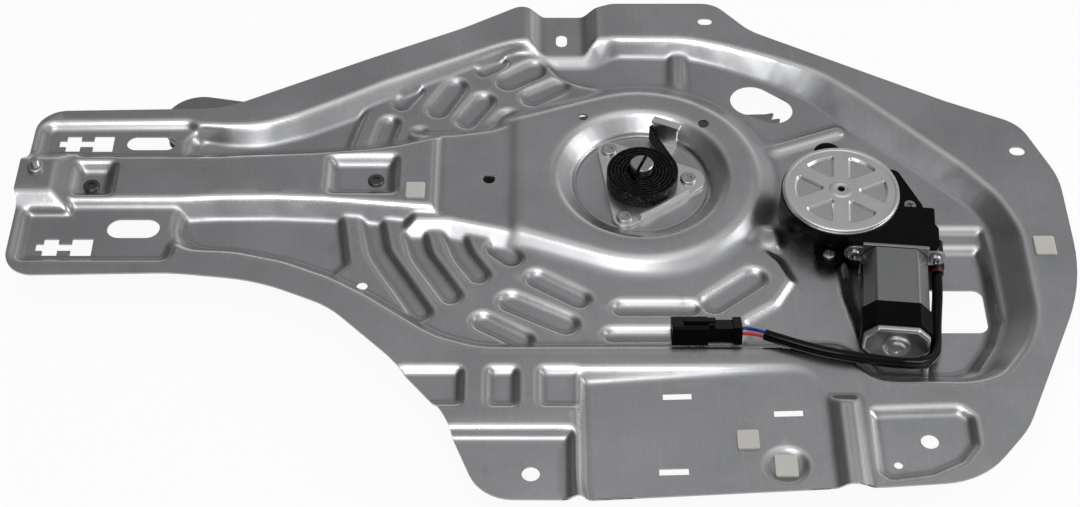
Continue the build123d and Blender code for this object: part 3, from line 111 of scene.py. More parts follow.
# %% [markdown]
# ## The camera
# The photograph was taken from the side of the panel's lower edge, from about 48 degrees above it and a
# little over a metre away, with a long lens. A long lens keeps the far edge nearly as wide as the near
# one, which is how product pictures are made. The camera only looks: nothing in the scene depends on it.

# %% Place the camera
VIEW_ELEVATION = math.radians(48.0)
VIEW_DISTANCE = 1.229
LENS = 69.67
SENSOR = 36.0

camera_data = bpy.data.cameras.new("product_camera")
camera_data.lens = LENS
camera_data.sensor_width = SENSOR
camera_data.clip_start = 0.01
camera = added("product_camera", camera_data)
gaze = Vector((0.0, math.cos(VIEW_ELEVATION), -math.sin(VIEW_ELEVATION)))
camera.location = DRAWING_ZERO - gaze * VIEW_DISTANCE
camera.rotation_euler = gaze.to_track_quat("-Z", "Y").to_euler()
bpy.context.scene.camera = camera
bpy.context.scene.view_settings.view_transform = "Standard"
print("camera at", [round(v, 3) for v in camera.location])

# %% [markdown]
# ## Shader maths as sentences
# A finish is mostly arithmetic: more roughness here, a darker mark there. In the node editor that takes
# dozens of Math nodes, so a small class wraps a socket and lets plain Python operators add them. One
# method makes every other node: it is given the node's type, its settings, and what feeds its sockets.

# %% A socket that does arithmetic
class Value:
    """A socket of a shader tree. Adding, taking away and multiplying make Math nodes."""

    def __init__(self, finish, socket):
        self.finish = finish
        self.socket = socket

    def maths(self, operation, first, second=0.0):
        return self.finish.node("ShaderNodeMath", {"operation": operation}, {0: first, 1: second})

    def __add__(self, other):
        return self.maths("ADD", self, other)

    __radd__ = __add__

    def __sub__(self, other):
        return self.maths("SUBTRACT", self, other)

    def __rsub__(self, other):
        return self.maths("SUBTRACT", other, self)

    def __mul__(self, other):
        return self.maths("MULTIPLY", self, other)

    __rmul__ = __mul__

    def above(self, low, high):
        """0 where the value is under low, 1 where it is over high, and a soft step between."""
        return self.finish.node("ShaderNodeMapRange", {"interpolation_type": "SMOOTHSTEP"},
                                {"Value": self, "From Min": low, "From Max": high})


# %% [markdown]
# Materials and the world both keep a node tree, so one class serves both. Its settings are the choices in
# a node's menus, its inputs are numbers, colours or the Values that come out of other nodes.

# %% A finish that makes nodes
class Finish:
    """The nodes of a material, or of the world, that is being made."""

    def __init__(self, owner):
        self.owner = owner
        owner.use_nodes = True
        self.tree = owner.node_tree
        self.tree.nodes.clear()
        self.place = self.node("ShaderNodeTexCoord", output="Object")

    def node(self, kind, settings=None, inputs=None, output=0):
        """Make a node, and give the Value that comes out of the named output."""
        made = self.tree.nodes.new(kind)
        for key, value in (settings or {}).items():
            if key == "stops":
                for _ in value[2:]:
                    made.color_ramp.elements.new(0.5)
                for element, (position, grey) in zip(made.color_ramp.elements, value):
                    element.position = position
                    element.color = (grey, grey, grey, 1.0)
            else:
                setattr(made, key, value)
        for key, value in (inputs or {}).items():
            if isinstance(value, Value):
                self.tree.links.new(value.socket, made.inputs[key])
            elif hasattr(value, "__len__") and len(made.inputs[key].default_value) == 4:
                made.inputs[key].default_value = (*value, 1.0)
            else:
                made.inputs[key].default_value = value
        return Value(self, made.outputs[output]) if len(made.outputs) else made

    def noise(self, size, stretch=(1.0, 1.0, 1.0), detail=2.0, rough=0.5, turn=0.0):
        """Soft noise with lumps of about that size, in metres, drawn out along an axis by stretch."""
        scale = [1.0 / (size * s) for s in stretch]
        lumps = self.node("ShaderNodeMapping", None, {"Vector": self.place, "Rotation": (0.0, 0.0, turn),
                                                      "Scale": scale})
        return self.node("ShaderNodeTexNoise", None, {"Vector": lumps, "Scale": 1.0, "Detail": detail,
                                                      "Roughness": rough})

    def blend(self, amount, first, second):
        """A colour between two colours."""
        return self.node("ShaderNodeMix", {"data_type": "RGBA"}, {0: amount, 6: first, 7: second}, output=2)

    def bump(self, height, depth, under=None):
        """A dent or lump of that depth, in metres, where height goes from 0 to 1."""
        inputs = {"Height": height, "Distance": depth, "Strength": 1.0}
        if under is not None:
            inputs["Normal"] = under
        return self.node("ShaderNodeBump", None, inputs)

    def surface(self, **inputs):
        """Close the finish with a surface, whose sockets are named as words joined by underscores."""
        named = {key.replace("_", " ").title().replace("Ior", "IOR"): value for key, value in inputs.items()}
        shader = self.node("ShaderNodeBsdfPrincipled", None, named)
        self.node("ShaderNodeOutputMaterial", None, {"Surface": shader})
        return self.owner


# %% [markdown]
# ## Light and floor
# Pressed steel is a mirror with a soft lens on it: what it shows is the room. Product pictures of metal
# use one broad light overhead and a darker band lower down, so that flat steel looks grey and every fold
# that leans towards the viewer turns white. The world here is that room, from a pale horizon through a
# grey band to a bright zenith, and darker to the left than to the right, which gives each fold a light
# and a dark side. Lamps add the overhead light and one from the right.

# %% The room as the world's colour
ROOM_BANDS = [(0.0, 0.60), (0.22, 0.42), (0.42, 0.26), (0.64, 0.15), (0.74, 0.29), (0.84, 0.29), (0.95, 0.62)]
DARKEST_LEFT, FULL_RIGHT, LEFT_SHARE = -0.75, 0.15, 0.22
ROOM_STRENGTH = 1.5

world = bpy.data.worlds.new("studio")
bpy.context.scene.world = world
room = Finish(world)
direction = room.node("ShaderNodeTexCoord", output="Generated")
upward = room.node("ShaderNodeSeparateXYZ", None, {0: direction}, output="Z")
rightward = room.node("ShaderNodeSeparateXYZ", None, {0: direction}, output="X")
bands = room.node("ShaderNodeValToRGB", {"stops": ROOM_BANDS}, {0: upward})
dimming = room.node("ShaderNodeMapRange", {"interpolation_type": "SMOOTHSTEP"}, {
    "Value": rightward, "From Min": DARKEST_LEFT, "From Max": FULL_RIGHT, "To Min": LEFT_SHARE})
dimmed = room.node("ShaderNodeVectorMath", {"operation": "SCALE"}, {0: bands, "Scale": dimming})
glow = room.node("ShaderNodeBackground", None, {"Color": dimmed, "Strength": ROOM_STRENGTH})
room.node("ShaderNodeOutputWorld", None, {"Surface": glow})
print("bands in the room", len(ROOM_BANDS))

# %% [markdown]
# An area lamp is soft when it is large beside its distance. The one overhead gives flat steel its grey
# sheen, and the one at the right draws a thin light line along folds that face it.

# %% Lamps
def lamp(name, place, target, size, power):
    """A square soft lamp that faces a point."""
    data = bpy.data.lights.new(name, "AREA")
    data.size = size
    data.energy = power
    made = added(name, data)
    made.location = place
    made.rotation_euler = (Vector(target) - Vector(place)).to_track_quat("-Z", "Y").to_euler()


middle = (cad_box[0] + cad_box[1]) / 2
lamp("overhead", (-0.2, -0.55, 1.6), middle, 0.75, 6.6)
lamp("right_side", (1.6, 0.1, 1.0), middle, 0.8, 9.0)

# %% [markdown]
# The floor is pale and matt. It keeps the shadow that the lamps give it, but for the camera and for the
# metal above it glows a little as well, because the holes of the panel show it bright in the photograph.

# %% The floor
floor_finish = Finish(bpy.data.materials.new("pale_floor"))
seen = floor_finish.node("ShaderNodeLightPath", output="Is Camera Ray")
mirrored = floor_finish.node("ShaderNodeLightPath", output="Is Glossy Ray")
through = floor_finish.node("ShaderNodeLightPath", output="Is Transmission Ray")
matt = floor_finish.node("ShaderNodeBsdfDiffuse", None, {"Color": (0.86, 0.86, 0.86)})
bright = floor_finish.node("ShaderNodeEmission", None, {"Color": (1.0, 1.0, 1.0), "Strength": 1.0})
SEEN_GLOW, MIRRORED_GLOW = 0.94, 0.35
share = (seen + through) * SEEN_GLOW + mirrored * MIRRORED_GLOW
both = floor_finish.node("ShaderNodeMixShader", None, {0: share, 1: matt, 2: bright})
floor_finish.node("ShaderNodeOutputMaterial", None, {"Surface": both})

floor_mesh = bmesh.new()
FLOOR_REACH = 12.0
bmesh.ops.create_grid(floor_mesh, x_segments=1, y_segments=1, size=FLOOR_REACH)
floor_data = bpy.data.meshes.new("floor")
floor_mesh.to_mesh(floor_data)
floor_mesh.free()
floor_data.materials.append(floor_finish.owner)
floor = added("floor", floor_data)
floor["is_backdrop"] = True


# %% [markdown]
# ## Making pieces
# Every new piece is a mesh whose place is in its vertices. A helper turns a bmesh into such a piece,
# lets it ride on the body that carries it, and names the finish that it takes.

# %% Helper for new pieces
SHARP_FROM = math.radians(38.0)


def piece(mesh, name, body, material):
    """An object made of a bmesh, smooth but for its sharp edges."""
    data = bpy.data.meshes.new(name)
    mesh.to_mesh(data)
    mesh.free()
    data.materials.append(material)
    data.shade_smooth()
    data.set_sharp_from_angle(angle=SHARP_FROM)
    made = added(name, data)
    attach(made, body)
    return made


# %% [markdown]
# ## The cable
# The cable comes first, because its length is a fact: a black sleeve of 6.4 mm, 168 mm long, from the red
# grommet in the gear case, low past the motor, round its end and up to the connector. A curve with a
# round bevel is the plainest way to a tube that bends smoothly.

# %% The sleeve
SLEEVE_DIAMETER = 6.4 * MM
SLEEVE_ROUTE = [
    (233.2, -9.0, -8.4), (232.6, -21.0, -10.2), (230.6, -34.0, -11.4), (228.6, -47.0, -11.8),
    (227.2, -59.2, -11.2), (224.6, -70.5, -8.9), (216.8, -78.7, -5.3), (204.0, -82.4, -0.8),
    (186.0, -82.7, 3.0), (166.0, -79.8, 4.2), (146.0, -73.4, 4.0), (127.5, -64.2, 2.6),
]


def tube(name, route, diameter, body, material):
    """A round tube on a smooth curve through the given control points."""
    data = bpy.data.curves.new(name, "CURVE")
    data.dimensions = "3D"
    data.bevel_depth = diameter / 2
    data.bevel_resolution = 6
    data.resolution_u = 12
    data.use_fill_caps = True
    line = data.splines.new("NURBS")
    line.points.add(len(route) - 1)
    for point, place in zip(line.points, route):
        point.co = (*place, 1.0)
    line.order_u = 3
    line.use_endpoint_u = True
    data.materials.append(material)
    made = added(name, data)
    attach(made, body)
    return made


# %% [markdown]
# ## Finishes
# Each finish says what the real surface is: zinc on steel with a fine grain, smudges and light scratches,
# oiled black spring strip, moulded plastic with a fine spark texture, soft vinyl. Patterns are placed by
# Object coordinates, in metres, so their grain has the right size whatever piece they lie on.

# %% Metals
# Sizes and depths of the patterns are in metres.
GRAIN_SIZE, CLOUD_SIZE, SMUDGE_SIZE, WAVE_SIZE = 0.0009, 0.035, 0.012, 0.011
GRAIN_DEPTH, WAVE_DEPTH = 0.000008, 0.00006


def metal(name, colour, rough, grain, streaks=(1.0, 1.0, 1.0), marks=0.0):
    """Bare or plated metal. Grain is how far colour and roughness swing, marks how dark the smudges are."""
    finish = Finish(bpy.data.materials.new(name))
    tone_swing, rough_swing = grain
    fine = finish.noise(GRAIN_SIZE, streaks, detail=3.0)
    cloud = finish.noise(CLOUD_SIZE, detail=3.0)
    smudge = finish.noise(SMUDGE_SIZE, (1.0, 2.2, 1.0), detail=5.0, rough=0.62, turn=0.6).above(0.58, 0.80)
    darker = [c * (1.0 - tone_swing) for c in colour]
    lighter = [min(1.0, c * (1.0 + tone_swing)) for c in colour]
    tint = finish.blend(fine * 0.55 + cloud * 0.45, darker, lighter)
    tint = finish.blend(smudge * marks, tint, [c * 0.5 for c in colour])
    roughness = rough + (fine - 0.5) * rough_swing + (cloud - 0.5) * rough_swing + smudge * (marks * 0.12)
    wavy = finish.bump(finish.noise(WAVE_SIZE, detail=1.0), WAVE_DEPTH)
    normal = finish.bump(fine, GRAIN_DEPTH, wavy)
    return finish.surface(base_color=tint, metallic=1.0, roughness=roughness, normal=normal)


rivet_steel = metal("rivet_steel", (0.52, 0.52, 0.51), 0.34, (0.12, 0.10), marks=0.5)
zinc_plate = metal("zinc_plate", (0.80, 0.80, 0.79), 0.30, (0.06, 0.08), (1.0, 4.0, 1.0), marks=0.12)
screw_steel = metal("screw_steel", (0.40, 0.40, 0.41), 0.30, (0.14, 0.10), marks=0.5)
shaft_steel = metal("shaft_steel", (0.50, 0.50, 0.50), 0.26, (0.12, 0.10), marks=0.4)
can_steel = metal("can_steel", (0.34, 0.345, 0.35), 0.24, (0.08, 0.06), (6.0, 1.0, 1.0), marks=0.15)
cap_steel = metal("cap_steel", (0.62, 0.62, 0.61), 0.40, (0.12, 0.10), marks=0.35)
dark_rivet = metal("dark_rivet", (0.13, 0.13, 0.125), 0.34, (0.2, 0.12), marks=0.5)
arm_steel = metal("arm_steel", (0.34, 0.34, 0.345), 0.38, (0.15, 0.12), marks=0.4)


# %% [markdown]
# The cover's six sectors are pressed in, and their floors get painted shade. A finish can tell them by
# height: what lies under the spokes, within the rim, is mixed towards a darker grey.

# %% The gear cover's plate
SECTOR_FLOOR, SECTOR_LIP = 1.2 * MM, 0.3 * MM
SECTOR_REACH, RIM_START = 32.0 * MM, 33.0 * MM


def cover_plate():
    """Bright zinc plate with painted shade in its sunk sectors."""
    finish = Finish(bpy.data.materials.new("cover_plate"))
    low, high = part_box("gear_cover")
    hub = ((low.x + high.x) / 2, (low.y + high.y) / 2, 0.0)
    outward = finish.node("ShaderNodeVectorMath", {"operation": "SUBTRACT"}, {0: finish.place, 1: hub})
    level = finish.node("ShaderNodeVectorMath", {"operation": "MULTIPLY"}, {0: outward, 1: (1.0, 1.0, 0.0)})
    from_hub = finish.node("ShaderNodeVectorMath", {"operation": "LENGTH"}, {0: level}, output="Value")
    height = finish.node("ShaderNodeSeparateXYZ", None, {0: finish.place}, output="Z")
    sunk = 1.0 - height.above(high.z - SECTOR_FLOOR, high.z - SECTOR_LIP)
    sunk = sunk * (1.0 - from_hub.above(SECTOR_REACH, RIM_START))
    fine = finish.noise(0.0010, (1.0, 3.0, 1.0), detail=4.0)
    cloud = finish.noise(0.012, detail=5.0, rough=0.65)
    tint = finish.blend(cloud * 0.6 + fine * 0.4, (0.70, 0.70, 0.695), (0.84, 0.84, 0.83))
    # Painted shade: the floors of the sunk sectors are darkened.
    tint = finish.blend(sunk * 0.8, tint, (0.56, 0.565, 0.58))
    roughness = 0.32 + (cloud - 0.5) * 0.14 + (fine - 0.5) * 0.10
    normal = finish.bump(fine, 0.00001)
    return finish.surface(base_color=tint, metallic=1.0, roughness=roughness, normal=normal)


# %% [markdown]
# Plastic and rubber come out of a mould whose walls are spark-eroded, which leaves a very fine texture.
# Black plastic hardly shows its colour, only its sheen, so sheen and roughness tell the blacks apart.

# %% Plastics and rubber
SPARK_SIZE, PATCH_SIZE = 0.0006, 0.009


def moulded(name, colour, rough, spark, sheen=0.5, swing=0.12):
    """Moulded plastic or rubber with a fine spark texture and a little unevenness."""
    finish = Finish(bpy.data.materials.new(name))
    fine = finish.noise(SPARK_SIZE, detail=2.0)
    cloud = finish.noise(PATCH_SIZE, detail=3.0)
    darker, lighter = [c * (1.0 - swing) for c in colour], [c * (1.0 + swing) for c in colour]
    tint = finish.blend(cloud, darker, lighter)
    roughness = rough + (fine - 0.5) * 0.18 + (cloud - 0.5) * 0.16
    return finish.surface(base_color=tint, roughness=roughness, specular_ior_level=sheen,
                          normal=finish.bump(fine, spark))


case_plastic = moulded("case_plastic", (0.002, 0.002, 0.0023), 0.28, 0.00003, 0.10)
connector_plastic = moulded("connector_plastic", (0.001, 0.001, 0.0012), 0.22, 0.00002, 0.05)
slider_plastic = moulded("slider_plastic", (0.05, 0.05, 0.05), 0.5, 0.00003)
wheel_plastic = moulded("wheel_plastic", (0.72, 0.70, 0.62), 0.45, 0.00003)
clip_plastic = moulded("clip_plastic", (0.60, 0.59, 0.55), 0.36, 0.00003, swing=0.04)
band_rubber = moulded("band_rubber", (0.001, 0.001, 0.001), 0.34, 0.00002, 0.08)
grommet_red = moulded("grommet_red", (0.045, 0.002, 0.003), 0.45, 0.00003)
sleeve_black = moulded("sleeve_black", (0.001, 0.001, 0.0014), 0.13, 0.00001, 0.17)
lead_blue = moulded("lead_blue", (0.015, 0.03, 0.36), 0.34, 0.00002)
lead_red = moulded("lead_red", (0.50, 0.02, 0.02), 0.34, 0.00002)


# %% [markdown]
# The spring is black strip steel, and its oil has run into beads. The coat is the oil: it lies only where
# a fine noise is high, and a bump lifts the same places.

# %% The oiled spring
BEAD_SIZE, BEAD_HEIGHT, STAIN_SIZE = 0.0016, 0.0002, 0.006


def oiled_spring():
    finish = Finish(bpy.data.materials.new("spring_steel"))
    beads = finish.noise(BEAD_SIZE, detail=3.0, rough=0.6).above(0.52, 0.70)
    cloud = finish.noise(STAIN_SIZE, detail=2.0)
    tint = finish.blend(cloud, (0.002, 0.002, 0.002), (0.007, 0.007, 0.007))
    return finish.surface(base_color=tint, roughness=0.30 - beads * 0.18, coat_weight=beads * 0.6,
                          coat_roughness=0.05, specular_ior_level=0.13,
                          normal=finish.bump(beads, BEAD_HEIGHT))


spring_steel = oiled_spring()
print("finishes", len(bpy.data.materials))

# %% [markdown]
# ## The pressed sheet
# A real pressing has no sharp fold: the sheet flows over the die's edges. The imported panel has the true
# outline, holes and levels, but crisp folds. So a new sheet is laid over it, as a press would: its
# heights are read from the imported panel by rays, softened like a stamping, and a fresh mesh is made that
# is dense at the folds and open on the flats. A flat triangulation with the outlines as fixed edges is
# the operator for that, because it keeps every hole exact.

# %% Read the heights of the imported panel
STEP = 0.8 * MM
SHEET = 1.2 * MM
panel_mesh = nodes["panel"].data
panel_points = [v.co.copy() for v in panel_mesh.vertices]
panel_faces = [tuple(p.vertices) for p in panel_mesh.polygons]
panel_tree = BVHTree.FromPolygons(panel_points, panel_faces)
MARGIN = 12
columns = int((panel_high.x - panel_low.x) / STEP) + 2 * MARGIN
rows = int((panel_high.y - panel_low.y) / STEP) + 2 * MARGIN
left = panel_low.x - MARGIN * STEP
near = panel_low.y - MARGIN * STEP
RAY_START = 0.02
ABOVE = panel_high.z + RAY_START
DOWN = Vector((0.0, 0.0, -1.0))


def height_under(x, y):
    """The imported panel's upper face at a place, or no number where there is a hole."""
    hit = panel_tree.ray_cast(Vector((x, y, ABOVE)), DOWN)[0]
    return math.nan if hit is None else hit.z


heights = np.array([[height_under(left + c * STEP, near + r * STEP) for c in range(columns)]
                    for r in range(rows)])
solid = ~np.isnan(heights)
print("height samples", heights.shape, "on the sheet", int(solid.sum()))


# %% [markdown]
# Rays that fall through a hole find nothing. The sheet is carried on over each hole and past the rim by
# averaging what lies beside, so that softening the folds doesn't bend the edges.

# %% Carry the sheet over its holes
def shifted(field, dr, dc):
    """The field moved by so many rows and columns."""
    return np.roll(np.roll(field, dr, 0), dc, 1)


def carried_on(field, known, rounds):
    """Fill unknown samples from their known neighbours, ring by ring."""
    field, known = np.where(known, field, 0.0), known.copy()
    for _ in range(rounds):
        total, count = np.zeros_like(field), np.zeros_like(field)
        for dr, dc in ((1, 0), (-1, 0), (0, 1), (0, -1)):
            total += shifted(np.where(known, field, 0.0), dr, dc)
            count += shifted(known.astype(float), dr, dc)
        fresh = ~known & (count > 0)
        field[fresh] = total[fresh] / count[fresh]
        known |= fresh
    return field, known


HOLE_ROUNDS = 30
carried, known = carried_on(heights, solid, HOLE_ROUNDS)
carried = np.where(known, carried, RIM_FACE)
grid_x = left + np.arange(columns) * STEP
grid_y = near + np.arange(rows) * STEP
drawn_x = (grid_x[None, :] - DRAWING_ZERO.x) / MM
drawn_y = (grid_y[:, None] - DRAWING_ZERO.y) / MM

# %% [markdown]
# The large pad at the lower edge has a tight corner at its upper left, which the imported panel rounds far
# more. The sheet gets the tight one: two straight walls that meet there, down to the pad's own slope.

# %% Press the tight corner of the large pad
PAD_LEFT, PAD_RIGHT = 20.0, 156.0
PAD_TOP, PAD_RISE, PAD_BOTTOM = -86.0, 0.0146, -150.0
PAD_DEEP, PAD_SLOPE, DEEP_AT = 5.8, 0.042, 25.0
PAD_CORNER = 16.0
LEFT_STEEP = 1.1
UPPER_WIDTH, UPPER_NARROWS = 7.0, 0.027
pad_level = (drawn_x - DEEP_AT) * PAD_SLOPE - PAD_DEEP
upper_width = UPPER_WIDTH - (drawn_x - PAD_LEFT) * UPPER_NARROWS
past_corner = np.maximum(drawn_x - PAD_RIGHT + PAD_CORNER, 0.0)
rounding = PAD_CORNER - np.sqrt(np.maximum(PAD_CORNER ** 2 - past_corner ** 2, 0.0))
pad_top = PAD_TOP + (drawn_x - PAD_LEFT) * PAD_RISE - rounding
walls = np.maximum(-(drawn_x - PAD_LEFT) * LEFT_STEEP, (drawn_y - pad_top) * -pad_level / upper_width)
pad = RIM_FACE + np.maximum(pad_level, walls) * MM
in_corner = (drawn_x > PAD_LEFT) & (drawn_x < PAD_RIGHT) & (drawn_y < pad_top) & (drawn_y > PAD_BOTTOM)
carried = np.where(in_corner, np.minimum(carried, pad), carried)
print("samples in the pad", int(in_corner.sum()))

# %% [markdown]
# The well under the motor has a slanting left wall in two steps, which ends at the can's lower corner.
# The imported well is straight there, so the floor is carried on up to the slanting line.

# %% Press the slanting wall of the motor's well
WELL_LEFT, WELL_SLANT, TAIL_SLANT = 177.0, 9.0 / 46.0, 0.1
WELL_TOP, WELL_TURN, WELL_END = -20.0, -66.0, -80.0
FLOOR_LEVEL, STEP_DOWN, WELL_DOWN = -10.0, 2.8, 3.2
STEP_WIDTH, WALL_START, WALL_WIDTH, PRESS_WIDTH = 1.2, 3.4, 1.4, 6.0
edge_x = WELL_LEFT + (WELL_TOP - drawn_y) * WELL_SLANT
past_edge = drawn_x - edge_x
stepped = FLOOR_LEVEL - np.clip(past_edge / STEP_WIDTH, 0, 1) * STEP_DOWN
stepped -= np.clip((past_edge - WALL_START) / WALL_WIDTH, 0, 1) * WELL_DOWN
right_of_floor = drawn_x > WELL_LEFT - 1.0
in_well = right_of_floor & (past_edge < PRESS_WIDTH) & (drawn_y < WELL_TOP) & (drawn_y > WELL_TURN)
carried = np.where(in_well, np.maximum(carried, RIM_FACE + stepped * MM), carried)
tail_x = edge_x + (WELL_TURN - drawn_y) * TAIL_SLANT
in_tail = right_of_floor & (drawn_x < tail_x) & (drawn_y <= WELL_TURN) & (drawn_y > WELL_END)
carried = np.where(in_tail, np.maximum(carried, RIM_FACE + FLOOR_LEVEL * MM), carried)
print("samples along the well's wall", int(in_well.sum() + in_tail.sum()))

# %% [markdown]
# A blur with a bell curve rounds every fold alike. Round the pivot the real folds are broader, so a wider
# blur takes over there, and a fine groove runs round the dish's floor as the photograph shows.

# %% Soften the folds, more round the pivot
def softened(field, radius):
    """Blur along both axes with a bell curve of that radius, in metres."""
    reach = int(3 * radius / STEP) + 1
    bell = np.exp(-0.5 * (np.arange(-reach, reach + 1) * STEP / radius) ** 2)
    bell /= bell.sum()
    for axis in (0, 1):
        field = sum(weight * np.roll(field, offset - reach, axis) for offset, weight in enumerate(bell))
    return field


FOLD_RADIUS = 1.35 * MM
BROAD_RADIUS = 2.6 * MM
crisp = softened(carried, FOLD_RADIUS)
broad = softened(carried, BROAD_RADIUS)
pivot = (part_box("pivot_shaft")[0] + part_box("pivot_shaft")[1]) / 2
from_pivot = np.hypot(grid_x[None, :] - pivot.x, grid_y[:, None] - pivot.y)
BROAD_FROM, BROAD_END, BROAD_FADE = 46.0 * MM, 98.0 * MM, 12.0 * MM
broad_share = np.clip((from_pivot - BROAD_FROM) / BROAD_FADE, 0, 1)
broad_share *= np.clip((BROAD_END - from_pivot) / BROAD_FADE, 0, 1)
pressed = crisp * (1 - broad_share) + broad * broad_share
GROOVE_RADIUS, GROOVE_HALF, GROOVE_DEEP = 40.8 * MM, 0.9 * MM, 0.85 * MM
pressed -= GROOVE_DEEP * np.exp(-((from_pivot - GROOVE_RADIUS) / GROOVE_HALF) ** 2)

# %% [markdown]
# The bend of the sheet at each sample is its second difference. Where it bends much, every other sample
# along each axis becomes a vertex, where it bends a little every third, and on the flats one in eight is
# enough. The groove is finer than any fold, so every sample beside it is kept.

# %% Choose the vertices by how much the sheet bends
BEND_RADIUS = 0.8 * MM
bend = np.zeros_like(pressed)
for dr, dc in ((0, 1), (1, 0), (1, 1), (1, -1)):
    bend = np.maximum(bend, np.abs(shifted(pressed, dr, dc) + shifted(pressed, -dr, -dc) - 2 * pressed))
bend = softened(bend, BEND_RADIUS)
FINE_BEND, MIDDLE_BEND = 0.016 * MM, 0.004 * MM
FINE_EVERY, MIDDLE_EVERY, OPEN_EVERY = 2, 3, 8
row_index, column_index = np.indices(pressed.shape)


def every(step):
    """Which samples are left when only one in so many is taken along each axis."""
    return (row_index % step == 0) & (column_index % step == 0)


inside = solid.copy()
for dr, dc in ((1, 0), (-1, 0), (0, 1), (0, -1)):
    inside &= shifted(solid, dr, dc)
GROOVE_SPAN = 2.6
near_groove = np.abs(from_pivot - GROOVE_RADIUS) < GROOVE_SPAN * GROOVE_HALF
chosen = inside & (near_groove
                   | (bend > FINE_BEND) & every(FINE_EVERY)
                   | (bend > MIDDLE_BEND) & (bend <= FINE_BEND) & every(MIDDLE_EVERY)
                   | (bend <= MIDDLE_BEND) & every(OPEN_EVERY))
print("inner vertices", int(chosen.sum()))


# %% [markdown]
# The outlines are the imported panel's own edges, where its upper face meets a cut wall. Long straight
# runs are divided, so that no triangle has to reach far along an edge.

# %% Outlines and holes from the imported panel
OUTLINE_STEP = 1.6 * MM
JOIN_WITHIN = 0.0005 * MM
WALL_LEANS_UNDER, FACE_LEANS_OVER = 0.05, 0.3
sheet_copy = bmesh.new()
sheet_copy.from_mesh(panel_mesh)
bmesh.ops.remove_doubles(sheet_copy, verts=sheet_copy.verts, dist=JOIN_WITHIN)
sheet_copy.normal_update()
outline_points, outline_edges, index_of = [], [], {}


def outline_vertex(x, y):
    """The number of the outline's point at a place, which is added if it is new."""
    key = (round(x, 7), round(y, 7))
    if key not in index_of:
        index_of[key] = len(outline_points)
        outline_points.append(Vector((x, y)))
    return index_of[key]


for edge in sheet_copy.edges:
    if len(edge.link_faces) != 2:
        continue
    leans = sorted(face.normal.z for face in edge.link_faces)
    if abs(leans[0]) < WALL_LEANS_UNDER and leans[1] > FACE_LEANS_OVER:
        a, b = (v.co for v in edge.verts)
        parts = max(1, round((a - b).xy.length / OUTLINE_STEP))
        ends = [outline_vertex(*a.lerp(b, i / parts).xy) for i in range(parts + 1)]
        outline_edges += [(i, j) for i, j in zip(ends, ends[1:]) if i != j]
sheet_copy.free()
print("outline points", len(outline_points), "edges", len(outline_edges))

# %% [markdown]
# The triangulation fills the whole plan, holes too. A ray through each triangle's middle tells whether
# there is sheet under it, and the others go.

# %% Triangulate, and keep what lies on the sheet
inner = [Vector((grid_x[c], grid_y[r])) for r, c in zip(*np.nonzero(chosen))]
spots, _, triangles = delaunay_2d_cdt(outline_points + inner, outline_edges, [], 0, 1e-8, False)[:3]
kept = []
for face in triangles:
    centre = sum((spots[i] for i in face), Vector((0.0, 0.0))) / 3
    if not math.isnan(height_under(*centre)):
        kept.append(tuple(face))
print("triangles of one face", len(kept))


# %% [markdown]
# Heights and slopes between the samples are mixed from the four samples around. The slopes give every
# vertex its normal, so the flats stay flat in the light however large their triangles are. The lower
# face is the upper one, one sheet down. An edge that only one triangle walks along is a cut edge, and a
# strip of quads closes all of those. Each vertex also keeps how much the sheet bends there, in an
# attribute that the finish reads: negative on a ridge, positive in a valley.

# %% Build the sheet as a closed solid
slope_y, slope_x = np.gradient(pressed, STEP)
spot_array = np.array([tuple(s) for s in spots])
across = (spot_array[:, 0] - left) / STEP
along = (spot_array[:, 1] - near) / STEP
column, row = np.floor(across).astype(int), np.floor(along).astype(int)
past_column, past_row = across - column, along - row


def between(field):
    """The field's value at every vertex, mixed from the four samples around it."""
    low = field[row, column] * (1 - past_column) + field[row, column + 1] * past_column
    high = field[row + 1, column] * (1 - past_column) + field[row + 1, column + 1] * past_column
    return low * (1 - past_row) + high * past_row


tops = between(pressed)
lean_x, lean_y = between(slope_x), between(slope_y)
bends = between(softened((shifted(pressed, 0, 1) + shifted(pressed, 0, -1) + shifted(pressed, 1, 0)
                          + shifted(pressed, -1, 0) - 4 * pressed), BEND_RADIUS))
count = len(spots)
sheet_points = [(x, y, z) for (x, y), z in zip(spots, tops)]
sheet_points += [(x, y, z - SHEET) for x, y, z in sheet_points]
upper = [face if (spots[face[1]] - spots[face[0]]).cross(spots[face[2]] - spots[face[0]]) > 0 else face[::-1]
         for face in kept]
lower = [tuple(i + count for i in reversed(face)) for face in upper]
walked = dict.fromkeys((i, j) for face in upper for i, j in zip(face, face[1:] + face[:1]))
rims = [(j, i, i + count, j + count) for i, j in walked if (j, i) not in walked]

sheet_data = bpy.data.meshes.new("pressed_panel")
sheet_data.from_pydata(sheet_points, [], upper + lower + rims)
sheet_data.shade_smooth()
normals = [Vector((-sx, -sy, 1.0)).normalized() for sx, sy in zip(lean_x, lean_y)]
corner_normals = [normals[i] for face in upper for i in face]
corner_normals += [-normals[i - count] for face in lower for i in face]
for j, i, _, _ in rims:
    wall = (spots[i] - spots[j]).normalized()
    corner_normals += [Vector((-wall.y, wall.x, 0.0))] * 4
sheet_data.normals_split_custom_set(corner_normals)
# The bend drives the finish's painted highlight on ridges and painted shade in valleys.
fold = sheet_data.attributes.new("fold", "FLOAT", "POINT")
fold.data.foreach_set("value", np.concatenate([bends, bends]).astype(np.float32) / MM)
print("sheet triangles", len(upper) + len(lower) + 2 * len(rims))
